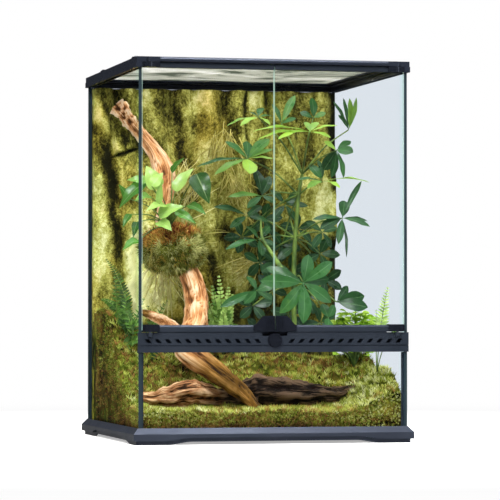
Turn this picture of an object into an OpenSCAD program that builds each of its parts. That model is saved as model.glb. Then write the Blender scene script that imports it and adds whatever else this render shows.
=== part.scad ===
// Front-opening glass reptile terrarium with a planted interior.
// The origin is on the floor under the middle of the tank: +X right, +Y to the back, +Z up.

/* [Tank] */
// Outside width of the glass tank
tank_w = 450; // [440:1:500]
// Outside depth of the glass tank
tank_d = 450; // [440:1:500]
// Height of the side and back panels
glass_h = 600; // [596:1:660]
// Thickness of the fixed glass panels
glass_t = 5; // [4:0.5:6]
// Leg of the triangular silicone beads in the corners
seal_leg = 4; // [3:0.5:6]

/* [Base frame] */
// Height of the ledge that the panels stand on
ledge_z = 16; // [14:0.5:20]
// Height of the rim around the glass above the ledge
rim_h = 11; // [8:0.5:15]
// How far the base reaches out past the glass
base_flare = 9.5; // [8:0.5:14]
// Height of the sloping shoulder on top of the base
shoulder_h = 9.5; // [6:0.5:10]
// Height of the plain lower lip at the feet
lip_h = 6.5; // [4:0.5:7]
// How far the lower lip stands back from the face
lip_inset = 5; // [3:0.5:6]
// Thickness of the skirt wall
skirt_t = 3; // [2:0.5:4]
// How far the skirt arches up between the feet
arch_rise = 5; // [3:0.5:6]
// Length of the front feet along each side
foot_len = 55; // [40:1:80]
// Length of the rear feet along the sides
rear_foot_len = 100; // [60:1:120]
// Run of the S-curve between a foot and the arch
foot_curve = 42; // [25:1:60]
// Width of the inner ledge
ledge_w = 20; // [14:1:30]
// Thickness of the inner ledge
ledge_t = 3; // [2:0.5:4]
// Number of ribs across the underside
rib_n = 4; // [2:1:6]

/* [Top frame] */
// How far the top frame laps down over the glass
top_lap = 7.5; // [6:0.5:10]
// Height of the top frame above the glass
top_cover = 10; // [9:0.5:14]
// How far the top frame stands out past the glass
top_flange = 4.5; // [3.5:0.5:7]
// Height of the lower tier of the top frame
tier_h = 8.9; // [8:0.1:9.5]
// Step between the two tiers
tier_step = 0.8; // [0.5:0.1:1.5]
// Width of the side beams, inside the outer edge of the glass
side_beam = 13; // [11:0.5:18]
// Width of the rear beam, inside the outer edge of the glass
rear_beam = 33; // [30:1:45]
// Width of the front beam, inside the outer edge of the glass
front_beam = 17; // [15:0.5:22]
// Width of the ledge under the lid
lid_ledge = 6; // [4:0.5:10]
// How far the rounded front bar stands out from the frame
bar_depth = 5; // [4:0.5:8]
// Radius of the shoulder of the front bar
bar_round = 5; // [3:0.5:6]
// Half length of the front bar with its end blocks
bar_half = 212; // [205:1:213]
// Length of each end block of the front bar
bar_block = 21; // [18:1:30]

/* [Front vent] */
// Height of the lower edge of the window channel
window_z = 149; // [120:1:150]
// Height of the window channel
channel_h = 10; // [8:0.5:14]
// Height of the vent strip
vent_h = 22; // [21:0.5:30]
// How far the vent strip stands out from the glass
vent_proud = 4; // [3.5:0.5:6]
// Depth of the vent strip behind the front plane
vent_depth = 22; // [16:1:30]
// Wall of the vent strip
vent_t = 2.5; // [2:0.5:3]
// Number of slots on each side of the lock
slot_n = 12; // [8:1:12]
// Distance from one slot to the next
slot_pitch = 16.5; // [14:0.5:16.5]
// Distance from the middle to the first slot
slot_first = 28.5; // [24:0.5:28.5]
// Width of a slot
slot_w = 7; // [4:0.5:8]
// Height of a slot
slot_h = 6.5; // [4:0.5:7]
// Sideways lean of a slot over its height
slot_lean = 5; // [2:0.5:6]
// Height of the shadow groove between the window channel and the vent strip
groove_h = 1.4; // [1:0.1:2]
// Height of the stop lip behind the bottom rails
lip_rise = 5; // [3:0.5:7]

/* [Doors] */
// Thickness of the door glass
door_t = 4; // [3:0.5:5]
// Gap between a door and its neighbours
door_gap = 1; // [0.8:0.1:1.5]
// Height of the bottom rail
rail_h = 11; // [9:0.5:14]
// How far the rails stand in front of the door glass
rail_front = 4; // [3:0.5:5]
// Thickness of the rails behind the door glass
rail_back = 2; // [1.5:0.5:3]
// Half width of the pair of handles at the foot
handle_half = 36; // [30:1:45]
// Half width of the pair of handles at the top
handle_top = 18; // [14:1:24]
// Height of the handles above the rail
handle_rise = 15; // [10:1:20]
// Thickness of the handles
handle_t = 7.5; // [6.5:0.5:9]

/* [Hinges] */
// Distance from the hinge axis to the tank's outside
hinge_in = 18; // [16:0.5:22]
// Distance of the hinge axis in front of the front plane
hinge_out = 5; // [4.5:0.5:7]
// Diameter of the hinge pins
pin_d = 4; // [3:0.5:5]
// Radius of the hinge knuckles
knuckle_r = 4.5; // [4:0.5:5.5]
// Length of the hinge blocks along the door
hinge_len = 27; // [24:1:34]
// Radial clearance of the turning pins
pin_fit = 0.08; // [0.04:0.01:0.1]

/* [Lock] */
// Diameter of the lock knob
knob_d = 21; // [18:1:21]
// How far the knob stands out from its bezel
knob_t = 4; // [3:0.5:7]
// Diameter of the lock shaft
shaft_d = 6; // [5:0.5:8]
// Reach of the latch cam from its axis
cam_reach = 13.1; // [12.4:0.1:13.2]
// Width of the latch cam at its hub
cam_w = 8; // [7:0.5:9]
// Half width of the finger scoop above the knob
scoop_half = 21; // [18:1:26]

/* [Lid] */
// Width of the lid's plastic frame
lid_rim = 16; // [12:1:22]
// Height of the lid's plastic frame
lid_t = 6.5; // [5:0.5:7]
// Clearance around the lid
lid_gap = 0.6; // [0.4:0.1:1.2]
// Distance between the wires of the screen
wire_pitch = 28; // [20:1:40]
// Width of a wire of the screen
wire_w = 1; // [0.8:0.1:1.6]
// Length of the lid clips
clip_len = 24; // [20:1:28]
// Width of the lid clips
clip_w = 8; // [7:0.5:9]
// Thickness of the lid clips
clip_t = 3; // [2:0.5:4]
// Distance of the front clips' pivots from the tank's front
clip_front = 50; // [40:1:80]
// Distance of the rear clips' pivots from the tank's back
clip_rear = 110; // [95:1:140]

/* [Cable inlets] */
// Width of a cable inlet
inlet_w = 52; // [40:1:60]
// Depth of a cable inlet
inlet_d = 12; // [8:1:14]
// Distance from the middle to each inlet's centre
inlet_x = 110; // [95:1:120]
// Thickness of the sliding shutters
shutter_t = 2; // [1.5:0.5:2.5]

/* [Interior] */
// Thickness of the background panel between its ridges
panel_t = 15; // [12:1:20]
// Height of the ridges on the background panel
ridge_h = 26; // [15:1:30]
// Height of the soil's surface at the front
soil_front = 46; // [40:1:52]
// Rise of the soil from the front to the back
soil_rise = 78; // [60:1:84]
// Thickness of the moss layer
moss_t = 7; // [5:0.5:10]
// Number of leaflets in each whorl of the umbrella plant
leaflets = 7; // [5:1:8]

/* [Hidden] */
$fn = 48;
eps = 0.01;
seat = 0.25;                       // clearance of glass in its plastic channels
press = 0.02;                      // clearance of pressed-in pins and screws
run_gap = 0.6;                     // clearance between flat moving faces

half_w = tank_w / 2;
half_d = tank_d / 2;
in_w = half_w - glass_t;           // inner faces of the side panels
in_d = half_d - glass_t;           // inner faces of the back panel and front window
glass_top = ledge_z + glass_h;
floor_z = ledge_z + glass_t;       // upper face of the bottom glass
rim_z = ledge_z + rim_h;
face_out = base_flare;
lip_out = base_flare - lip_inset;

top_low = glass_top - top_lap;     // lower edge of the top frame
top_z = glass_top + top_cover;     // upper face of the top frame
tier_z = top_low + tier_h;
ledge_top = top_z - lid_t - 1.2;   // face that the lid rests on
lid_x = half_w - side_beam;        // half opening for the lid
lid_y0 = -(half_d - front_beam);
lid_y1 = half_d - rear_beam;

vent_z = window_z + channel_h;     // underside of the vent strip
door_z = vent_z + vent_h + door_gap;
front_y = -half_d;
face_y = front_y - vent_proud;
strip_x = half_w + 1.5;
slot_z = vent_z + 5;
ear_h = 6.6;
ear_z = vent_z + vent_h - ear_h - 0.4;

glass_y0 = front_y - 1;            // front face of the door glass
glass_y1 = glass_y0 + door_t;
rail_y0 = glass_y0 - rail_front;
rail_y1 = glass_y1 + rail_back;
door_out = in_w - door_gap;        // outer edge of a door
door_in = door_gap * 0.75;         // inner edge of a door
rail_end = door_out - hinge_len;
top_rail_z = top_low;
top_rail_h = tier_h - 0.5;
door_glass_top = top_rail_z + top_rail_h - 3;
hinge_x = half_w - hinge_in;
hinge_y = front_y - hinge_out;

lock_z = vent_z + 9.5;
scoop_z = lock_z + 7;
bezel_t = 1;
cam_y = face_y + vent_t + 0.4;
cam_t = 2.6;
catch_y = cam_y + cam_t + 0.5;
catch_t = 2;
catch_w = 8;
catch_z = lock_z + knob_d / 2 + 0.5;   // passes over the knob when a door opens
stub_d = shaft_d - 2;

clip_x = half_w - side_beam / 2 + 1.5;
screen_lift = 1.2;
clip_z = top_z + 0.4;
screw_r = 1.5;
head_r = 3.2;
inlet_y = (lid_y1 + half_d) / 2 + 2;
shutter_l = inlet_w + 10;
shutter_w = inlet_d + 8;
shutter_travel = inlet_w + 4;

touch = 0.3;                       // clearance of the landscape pieces that rest on each other
plan_x = in_w / 220;               // the planting plan stretches with the floor
plan_y = in_d / 220;
plan_z = (glass_top - soil_front) / 570;
soil_x = in_w - touch;
soil_y = in_d - touch;
cells_x = 20;                      // cells of the soil and rock surfaces
cells_y = 12;
cells_z = 14;

black = [0.09, 0.1, 0.12];
slate = [0.16, 0.17, 0.2];
clear = [0.75, 0.9, 0.88, 0.35];

// ---------- general shapes ----------

// A block centred on x and y
module block(wx, wy, z0, z1) {
    translate([-wx, -wy, z0]) cube([2 * wx, 2 * wy, z1 - z0]);
}

// A box given by its two corners
module box(a, b) {
    translate(a) cube(b - a);
}

// A profile drawn in (y, z) and swept along x
module along_x(x0, x1) {
    translate([x0, 0, 0]) rotate([90, 0, 90]) linear_extrude(x1 - x0) children();
}

// A profile drawn in (x, z) and swept along y
module along_y(y0, y1) {
    translate([0, y1, 0]) rotate([90, 0, 0]) linear_extrude(y1 - y0) children();
}

// Copies its children at both ends of the x axis
module both_sides() {
    children();
    mirror([1, 0, 0]) children();
}

function smooth(t) = t * t * (3 - 2 * t);
function ramp(v, a, b) = smooth(min(1, max(0, (v - a) / (b - a))));
function bell(v, mid, w) = exp(-pow((v - mid) / w, 2));
function unit(v) = v / norm(v);

// Region under an arch that starts at z0 and rises between two S-curves
module arch(x0, x1, run0, run1, z0, rise) {
    steps = 10;
    polygon(concat(
        [[x0, z0 - 4 * rise]],
        [for (i = [0:steps]) [x0 + run0 * i / steps, z0 + rise * smooth(i / steps)]],
        [for (i = [steps:-1:0]) [x1 - run1 * i / steps, z0 + rise * smooth(i / steps)]],
        [[x1, z0 - 4 * rise]]));
}

// A closed surface through rings that all have the same number of points
module loft(rings) {
    n = len(rings[0]);
    last = len(rings) - 1;
    polyhedron(
        points = [for (r = rings) for (p = r) p],
        faces = concat(
            [[for (k = [0:n - 1]) k]],
            [for (i = [0:last - 1]) for (k = [0:n - 1])
                let (a = i * n + k, b = i * n + (k + 1) % n)
                each [[a, a + n, b + n], [a, b + n, b]]],
            [[for (k = [n - 1:-1:0]) last * n + k]]),
        convexity = 6);
}

// Direction of a path at point i
function heading(path, i) =
    unit(path[min(i + 1, len(path) - 1)] - path[max(i - 1, 0)]);

// Rings of a round limb whose radius and knots vary along its path
function limb(path, radii, sides, knots = 0) = [
    for (i = [0:len(path) - 1])
        let (t = heading(path, i), u = unit(cross([0.2, 1, 0.1], t)), v = cross(t, u))
        [for (k = [0:sides - 1])
            let (a = 360 * k / sides, r = radii[i] * (1 + knots * sin(3 * a + 130 * i)))
            path[i] + r * (cos(a) * u + sin(a) * v)]];

// ---------- base frame ----------

module base_profile(half) {
    polygon([
        [-half - face_out, lip_h], [half + face_out, lip_h], [half + face_out, rim_z - shoulder_h],
        [half + 1, rim_z], [-half - 1, rim_z], [-half - face_out, rim_z - shoulder_h]]);
}

// The arches cut between the feet, for one tier of the skirt
module foot_arches(z0, out0, out1) {
    x_end = half_w + face_out - foot_len;
    y_front = front_y - face_out + foot_len;
    y_rear = half_d + face_out - rear_foot_len;
    for (side = [-1, 1]) {
        near = side < 0 ? front_y - out1 : half_d + out0;
        along_y(near, near + out1 - out0) arch(-x_end, x_end, foot_curve, foot_curve, z0, arch_rise);
        start = side < 0 ? -half_w - out1 : half_w + out0;
        along_x(start, start + out1 - out0) arch(y_front, y_rear, foot_curve, foot_curve / 2, z0, arch_rise);
    }
}

module base_frame() {
    under = lip_out - skirt_t;
    color(slate)
    difference() {
        union() {
            intersection() {
                along_y(-half_d - face_out, half_d + face_out) base_profile(half_w);
                along_x(-half_w - face_out, half_w + face_out) base_profile(half_d);
            }
            block(half_w + lip_out, half_d + lip_out, 0, lip_h + arch_rise + 1);
        }
        block(half_w + seat, half_d + seat, ledge_z, rim_z + 1);
        difference() {
            block(half_w + under, half_d + under, -1, ledge_z - ledge_t);
            for (i = [0:rib_n - 1]) base_rib(i);
        }
        difference() {
            block(half_w - ledge_w, half_d - ledge_w, ledge_z - ledge_t - 1, ledge_z + 1);
            for (i = [0:rib_n - 1]) base_rib(i);
        }
        foot_arches(lip_h, lip_out, face_out + 1);
        foot_arches(0, under - 1, lip_out + 1);
    }
}

// One rib across the underside
module base_rib(i) {
    y = (i - (rib_n - 1) / 2) * 2 * in_d / (rib_n + 1);
    box([-half_w - lip_out, y - 1.5, arch_rise + 1], [half_w + lip_out, y + 1.5, ledge_z]);
}

// ---------- fixed glass ----------

module bottom_glass() color(clear) block(in_w, in_d, ledge_z, floor_z);

module back_glass() color(clear)
    box([-in_w, in_d, ledge_z], [in_w, half_d, glass_top]);

module side_glass() color(clear)
    box([in_w, -half_d, ledge_z], [half_w, half_d, glass_top]);

module right_glass() side_glass();

module left_glass() mirror([1, 0, 0]) side_glass();

module front_window() color(clear)
    box([-in_w, front_y, ledge_z], [in_w, front_y + glass_t, window_z + 6]);

// One triangular bead of silicone in an upright corner
module seal(x, y, z1) {
    translate([x, y, floor_z])
        linear_extrude(z1 - floor_z)
            polygon([[0, 0], [-sign(x) * seal_leg, 0], [0, -sign(y) * seal_leg]]);
}

module corner_seals() color(black)
    for (side = [-1, 1]) {
        seal(side * in_w, in_d, top_low - 1);
        seal(side * in_w, -in_d, window_z - 0.5);
    }

// ---------- window channel and vent strip ----------

module window_channel() {
    color(slate)
    difference() {
        union() {
            box([-strip_x, face_y, window_z], [strip_x, front_y, vent_z]);
            box([-in_w + seat, front_y, window_z], [in_w - seat, front_y + glass_t + 3, vent_z]);
        }
        box([-in_w, front_y, window_z - 1], [in_w, front_y + glass_t + seat, window_z + 6.2]);
    }
}

// One leaning slot, drawn on the right half
module slot(i) {
    x = slot_first + i * slot_pitch;
    along_y(face_y - 1, face_y + vent_t + 1)
        translate([x, slot_z])
            polygon([
                [-slot_w / 2 - slot_lean / 2, 0], [slot_w / 2 - slot_lean / 2, 0],
                [slot_w / 2 + slot_lean / 2, slot_h], [-slot_w / 2 + slot_lean / 2, slot_h]]);
}

// The ear that carries a lower hinge pin
module pivot_ear() {
    translate([hinge_x, hinge_y, ear_z]) cylinder(r = knuckle_r, h = ear_h);
    box([hinge_x - knuckle_r, hinge_y, ear_z], [hinge_x + knuckle_r, face_y + eps, ear_z + ear_h]);
}

module vent_strip() {
    strip_top = vent_z + vent_h;
    lip_y = catch_y + catch_t + 2.4;
    air_n = ceil(slot_n / 2);
    back_y = front_y + vent_depth;
    lower_y = face_y + vent_t;
    end_x = in_w - seat;
    color(slate)
    difference() {
        union() {
            box([-strip_x, face_y, vent_z], [strip_x, lower_y, strip_top]);
            box([-end_x, front_y, vent_z], [end_x, back_y, vent_z + vent_t]);
            box([-end_x, front_y, strip_top - vent_t], [end_x, back_y, strip_top]);
            box([-strip_x, lower_y - eps, vent_z], [strip_x, front_y, vent_z + vent_t]);
            box([-strip_x, lower_y - eps, strip_top - vent_t], [strip_x, front_y, strip_top]);
            box([-end_x, back_y - vent_t, vent_z], [end_x, back_y, strip_top]);
            box([-rail_end, lip_y, strip_top - eps], [rail_end, lip_y + 2, strip_top + lip_rise]);
            both_sides() box([end_x - vent_t, front_y, vent_z], [end_x, back_y, strip_top]);
            both_sides() pivot_ear();
        }
        both_sides() for (i = [0:slot_n - 1]) slot(i);
        // air leaves the channel through slots in its top, behind the lip
        both_sides() for (i = [0:air_n - 1])
            box([slot_first + i * 2 * slot_pitch - 12, lip_y + 5, strip_top - vent_t - 1],
                [slot_first + i * 2 * slot_pitch + 12, back_y - vent_t - 2, strip_top + 1]);
        box([-strip_x - 1, face_y - 1, vent_z - 1], [strip_x + 1, face_y + 1.5, vent_z + groove_h]);
        both_sides() translate([hinge_x, hinge_y, ear_z - 1]) cylinder(d = pin_d + 2 * press, h = ear_h + 2);
        translate([0, face_y - 1, lock_z]) rotate([-90, 0, 0])
            cylinder(d = shaft_d + 2 * pin_fit, h = vent_t + 2);
        box([-scoop_half, face_y - 1, scoop_z], [scoop_half, catch_y + catch_t + 2, strip_top + 1]);
    }
}

module lower_hinge_pins() color("silver")
    both_sides() translate([hinge_x, hinge_y, ear_z]) cylinder(d = pin_d, h = door_z + rail_h - 2 - ear_z);

// ---------- top frame ----------

// Profile of the front bar in (y, z), with a broad round shoulder and a small round below
module bar_profile() {
    y0 = front_y - top_flange - bar_depth;
    intersection() {
        translate([y0, tier_z]) square([bar_depth + 4, top_z - tier_z]);
        hull() {
            translate([y0 + bar_round, top_z - bar_round]) circle(bar_round);
            translate([y0 + 1.5, tier_z + 1.5]) circle(1.5);
            translate([y0 + bar_depth + 3, tier_z]) square([1, top_z - tier_z]);
        }
    }
}

module top_frame() {
    out = top_flange;
    step_out = top_flange - tier_step;
    bar_y = front_y - top_flange;
    ledge_low = ledge_top - 2.5;
    stop_x = rail_end - 4;
    color(black)
    difference() {
        union() {
            block(half_w + out, half_d + out, top_low, tier_z);
            block(half_w + step_out, half_d + step_out, tier_z - 1, top_z);
            along_x(-bar_half + bar_block, bar_half - bar_block) bar_profile();
            both_sides() box([bar_half - bar_block, bar_y - bar_depth + 1, tier_z],
                             [bar_half - knuckle_r, bar_y + 2, top_z - 0.6]);
            both_sides() translate([bar_half - knuckle_r, bar_y - bar_depth + 1 + knuckle_r, tier_z])
                cylinder(r = knuckle_r, h = top_z - 0.6 - tier_z);
            both_sides() box([bar_half - 2 * knuckle_r, bar_y - bar_depth + 1 + knuckle_r, tier_z],
                             [bar_half, bar_y + 2, top_z - 0.6]);
            for (side = [-1, 1]) shutter_guides(side);
        }
        // opening for the lid, and the smaller opening inside its ledge
        box([-lid_x, lid_y0, ledge_top], [lid_x, lid_y1, top_z + 1]);
        box([-lid_x + lid_ledge, lid_y0 + lid_ledge, top_low - 1],
            [lid_x - lid_ledge, lid_y1 - lid_ledge, top_z]);
        // slot for the side and back glass
        difference() {
            block(half_w + seat, half_d + seat, top_low - 1, glass_top + 0.2);
            block(in_w - seat, in_d - seat, top_low - 2, glass_top + 1);
        }
        // the frame is hollow underneath, inside its glass slot
        difference() {
            block(in_w - 3, in_d - 3, top_low - 1, ledge_low);
            box([-stop_x, rail_y1 + run_gap, top_low - 2], [stop_x, rail_y1 + run_gap + 3, ledge_low + 1]);
        }
        both_sides() box([stop_x, front_y, top_low - 1], [in_w - seat, front_y + 14, tier_z]);
        // room for the top rails of the doors
        box([-in_w + seat, bar_y - 1, top_low - 1], [in_w - seat, rail_y1 + run_gap, tier_z]);
        both_sides() translate([hinge_x, hinge_y, tier_z - 1]) cylinder(d = pin_d + 2 * press, h = 6.5);
        both_sides() for (side = [-1, 1])
            translate([clip_x, clip_y(side), top_z - 6])
                cylinder(r = screw_r + press, h = 8);
        for (side = [-1, 1]) inlet_cut(side);
    }
}

// The opening of one cable inlet and the pocket that its shutter slides in
module inlet_cut(side) {
    mirror([side < 0 ? 1 : 0, 0, 0]) {
        box([inlet_x - inlet_w / 2, inlet_y - inlet_d / 2, top_low - 1],
            [inlet_x + inlet_w / 2, inlet_y + inlet_d / 2, top_z + 1]);
        box([inlet_x - shutter_l / 2 - 1 - shutter_travel, inlet_y - shutter_w / 2 - run_gap, top_z - shutter_t - 0.5],
            [inlet_x + shutter_l / 2 + 1, inlet_y + shutter_w / 2 + run_gap, top_z + eps]);
    }
}

// Two strips that hold a shutter down
module shutter_guides(side) {
    mirror([side < 0 ? 1 : 0, 0, 0])
        for (edge = [-1, 1])
            box([inlet_x - shutter_l / 2 - shutter_travel, inlet_y + edge * (shutter_w / 2 + 0.5) - 2, top_z - eps],
                [inlet_x + shutter_l / 2, inlet_y + edge * (shutter_w / 2 + 0.5) + 2, top_z + 1.5]);
}

module upper_hinge_pins() color("silver")
    both_sides() translate([hinge_x, hinge_y, top_rail_z + 1]) cylinder(d = pin_d, h = tier_z + 5 - top_rail_z - 1);

// ---------- doors, drawn as the right door ----------

module door_glass() color(clear)
    box([door_in, glass_y0, door_z + 3], [door_out, glass_y1, door_glass_top]);

// Groove of a rail or hinge block around the door glass
module glass_groove() {
    box([-1, glass_y0, door_z + 3 - seat], [door_out + 1, glass_y1, door_glass_top + seat]);
}

module bottom_rail() {
    color(slate)
    difference() {
        along_x(door_in, rail_end)
            polygon([
                [rail_y0, door_z], [rail_y0, door_z + rail_h - 3], [rail_y0 + 1, door_z + rail_h - 1],
                [rail_y0 + 2.5, door_z + rail_h], [rail_y1, door_z + rail_h], [rail_y1, door_z]]);
        glass_groove();
        catch_plate(press);
    }
}

// The steel plate under a bottom rail that the latch cam holds
module catch_plate(extra = 0) {
    x = door_in + 0.8;
    box([x - extra, catch_y - extra, catch_z], [x + catch_w + extra, catch_y + catch_t + extra, door_z + 2 + extra]);
}

module door_catch() color("silver") catch_plate();

module top_rail() {
    color(slate)
    difference() {
        box([door_in, rail_y0 + 1, top_rail_z], [rail_end, rail_y1, top_rail_z + top_rail_h]);
        glass_groove();
    }
}

// A hinge block that grips the glass and turns on a pin
module hinge_block(z0, z1) {
    front = rail_y0 - 3;
    difference() {
        union() {
            box([rail_end + 0.1, front, z0], [door_out - 3, rail_y1, z1]);
            box([rail_end + 0.1, rail_y0, z0], [door_out, rail_y1, z1]);
            translate([hinge_x, hinge_y, z0]) cylinder(r = knuckle_r, h = z1 - z0);
        }
        glass_groove();
        translate([hinge_x, hinge_y, z0 - 1]) cylinder(r = pin_d / 2 + pin_fit, h = z1 - z0 + 2);
    }
}

module lower_hinge() color(black) hinge_block(door_z, door_z + rail_h + 1);

module upper_hinge() color(black) hinge_block(top_rail_z, top_rail_z + top_rail_h);

// Front outline of one handle, in (x, z)
module handle_outline() {
    steps = 8;
    rail_top = door_z + rail_h;
    run = handle_half - handle_top;
    polygon(concat(
        [[door_in, door_z + 0.8], [door_in, rail_top + handle_rise]],
        [for (i = [0:steps])
            [handle_top + run * i / steps, rail_top + handle_rise - handle_rise * smooth(i / steps)]],
        [[handle_half, door_z + 2.5], [handle_top + 2, door_z + 0.8]]));
}

module handle() {
    rib_w = 1.6;
    front = rail_y0 - handle_t + rail_front;
    color(black)
    difference() {
        union() {
            along_y(front + 1.2, glass_y0) handle_outline();
            for (i = [0:3])
                box([door_in + 1 + i * 3.6, front - 0.8, door_z + 3],
                    [door_in + 1 + i * 3.6 + rib_w, front + 2, door_z + rail_h + handle_rise - 3]);
            box([door_in, front - 0.8, door_z + 0.8], [handle_top, front + 2, door_z + 2.4]);
        }
        box([-1, rail_y0, door_z - 1], [handle_half + 1, glass_y0 + 1, door_z + rail_h]);
    }
}

module right_door_glass() door_glass();
module right_bottom_rail() bottom_rail();
module right_top_rail() top_rail();
module right_handle() handle();
module right_catch() door_catch();
module right_lower_hinge() lower_hinge();
module right_upper_hinge() upper_hinge();
module left_door_glass() mirror([1, 0, 0]) door_glass();
module left_bottom_rail() mirror([1, 0, 0]) bottom_rail();
module left_top_rail() mirror([1, 0, 0]) top_rail();
module left_handle() mirror([1, 0, 0]) handle();
module left_catch() mirror([1, 0, 0]) door_catch();
module left_lower_hinge() mirror([1, 0, 0]) lower_hinge();
module left_upper_hinge() mirror([1, 0, 0]) upper_hinge();

// ---------- lock ----------

// Turns a shape drawn on +Z so that it points to the front at the lock's axis
module at_lock(y) {
    translate([0, y, lock_z]) rotate([90, 0, 0]) children();
}

module lock_bezel() color(black)
    difference() {
        at_lock(face_y) cylinder(d = knob_d + 3, h = bezel_t);
        at_lock(face_y + 1) cylinder(d = shaft_d + 2 * pin_fit, h = 4);
        box([-knob_d, face_y - bezel_t - 1, catch_z - 0.5], [knob_d, face_y + 1, catch_z + 20]);
    }

module lock_knob() {
    knob_y = face_y - bezel_t - 0.3;
    color(black) {
        difference() {
            at_lock(knob_y) cylinder(d = knob_d, h = knob_t);
            at_lock(knob_y - knob_t + 1.5) difference() {
                cylinder(d = knob_d - 3, h = 3);
                translate([-knob_d, -2, -1]) cube([2 * knob_d, 4, 5]);
            }
        }
        at_lock(cam_y - 0.1) cylinder(d = shaft_d, h = cam_y - knob_y + 0.5);
        at_lock(cam_y + cam_t + 0.4) cylinder(d = stub_d, h = cam_t + 2);
    }
}

module latch_cam() color("silver")
    difference() {
        at_lock(cam_y + cam_t) linear_extrude(cam_t) {
            circle(d = cam_w);
            intersection() {
                circle(cam_reach);
                polygon([[0, -cam_w / 2], [cam_reach, -0.55 * cam_w], [2 * cam_reach, 0],
                         [cam_reach, 0.55 * cam_w], [0, cam_w / 2]]);
            }
        }
        at_lock(cam_y + cam_t + 1) cylinder(d = stub_d + 2 * press, h = cam_t + 2);
    }

// ---------- lid, clips and cable shutters ----------

module lid_frame() {
    x = lid_x - lid_gap;
    y0 = lid_y0 + lid_gap;
    y1 = lid_y1 - lid_gap;
    z0 = ledge_top + 0.3;
    groove_z = z0 + screen_lift;
    color(black)
    difference() {
        box([-x, y0, z0], [x, y1, z0 + lid_t]);
        box([-x + lid_rim, y0 + lid_rim, z0 - 1], [x - lid_rim, y1 - lid_rim, z0 + lid_t + 1]);
        box([-x + lid_rim - 5, y0 + lid_rim - 5, groove_z], [x - lid_rim + 5, y1 - lid_rim + 5, groove_z + 1.2]);
    }
}

// The screen, drawn as a coarse grid of flat wires that ends inside the lid's groove
module lid_screen() {
    x = lid_x - lid_gap - lid_rim + 4;
    y0 = lid_y0 + lid_gap + lid_rim - 4;
    y1 = lid_y1 - lid_gap - lid_rim + 4;
    nx = floor(2 * x / wire_pitch);
    ny = floor((y1 - y0) / wire_pitch);
    color("silver")
    translate([0, 0, ledge_top + 0.3 + screen_lift + 0.1])
        linear_extrude(1) {
            for (i = [0:nx]) translate([-x + i * (2 * x - wire_w) / nx, y0]) square([wire_w, y1 - y0]);
            for (j = [0:ny]) translate([-x, y0 + j * (y1 - y0 - wire_w) / ny]) square([2 * x, wire_w]);
        }
}

// Place of the clip pivots along the side beams
function clip_y(side) = side < 0 ? -half_d + clip_front : half_d - clip_rear;

// A swivel clip lying along its beam, with its thumb nub at the far end
module lid_clip(side_x, side_y) {
    y = clip_y(side_y);
    tail = clip_len - clip_w / 2;
    color(black)
    translate([side_x * clip_x, y, clip_z]) mirror([0, side_y > 0 ? 1 : 0, 0])
        difference() {
            union() {
                cylinder(d = clip_w, h = clip_t);
                translate([-clip_w / 2, 0, 0]) cube([clip_w, tail - clip_w / 2, clip_t]);
                translate([0, tail - clip_w / 2, 0]) cylinder(d = clip_w, h = clip_t);
                translate([-clip_w / 2 + 1, tail - clip_w, 0]) cube([clip_w - 2, 3, clip_t + 1.4]);
            }
            translate([0, 0, -1]) cylinder(r = screw_r + pin_fit, h = clip_t + 2);
        }
}

module left_front_clip() lid_clip(-1, -1);
module left_rear_clip() lid_clip(-1, 1);
module right_front_clip() lid_clip(1, -1);
module right_rear_clip() lid_clip(1, 1);

module clip_screws() color("silver")
    both_sides() for (side = [-1, 1])
        translate([clip_x, clip_y(side), 0]) {
            translate([0, 0, top_z - 5.8]) cylinder(r = screw_r, h = clip_z + clip_t + 0.2 - top_z + 6);
            translate([0, 0, clip_z + clip_t + 0.2]) cylinder(r1 = head_r, r2 = head_r - 1, h = 1.2);
        }

module cable_shutter() {
    z0 = top_z - shutter_t - 0.3;
    color(slate) {
        box([inlet_x - shutter_l / 2, inlet_y - shutter_w / 2, z0],
            [inlet_x + shutter_l / 2, inlet_y + shutter_w / 2, z0 + shutter_t]);
        box([inlet_x - 2, inlet_y - shutter_w / 2 + 3, z0 + shutter_t - eps],
            [inlet_x + 2, inlet_y + shutter_w / 2 - 3, z0 + shutter_t + 3]);
    }
}

module right_cable_shutter() cable_shutter();
module left_cable_shutter() mirror([1, 0, 0]) cable_shutter();

// ---------- background, soil and moss ----------

// Ridges of the rock face: [x at the foot, x at the top, half width, share of the ridge height]
ridges = [
    [-176, -204, 16, 1], [-158, -160, 15, 0.7], [-112, -108, 20, 0.9], [-66, -58, 16, 0.6],
    [-10, -14, 24, 0.8], [44, 40, 18, 1], [96, 84, 14, 0.6], [140, 130, 20, 0.9], [186, 194, 18, 0.7]];
ledge_of_rock = [0.33, 0.62];      // heights of the two soft ledges, as shares of the panel

// Front surface of the rock at x and z. It stays upright below the soil's highest point.
function rock_y(x, z) =
    let (u = x / plan_x, rise = ramp(z, soil_front + soil_rise + 90, glass_top),
         ridge = max([for (r = ridges) r[3] * bell(u, r[0] + (r[1] - r[0]) * rise, r[2])]),
         wave = rise == 0 ? 0 : max([for (l = ledge_of_rock) 0.5 * bell(rise, l, 0.1)]))
    in_d - touch - panel_t - ridge_h * (ridge + wave * (1 - ridge));

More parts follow.
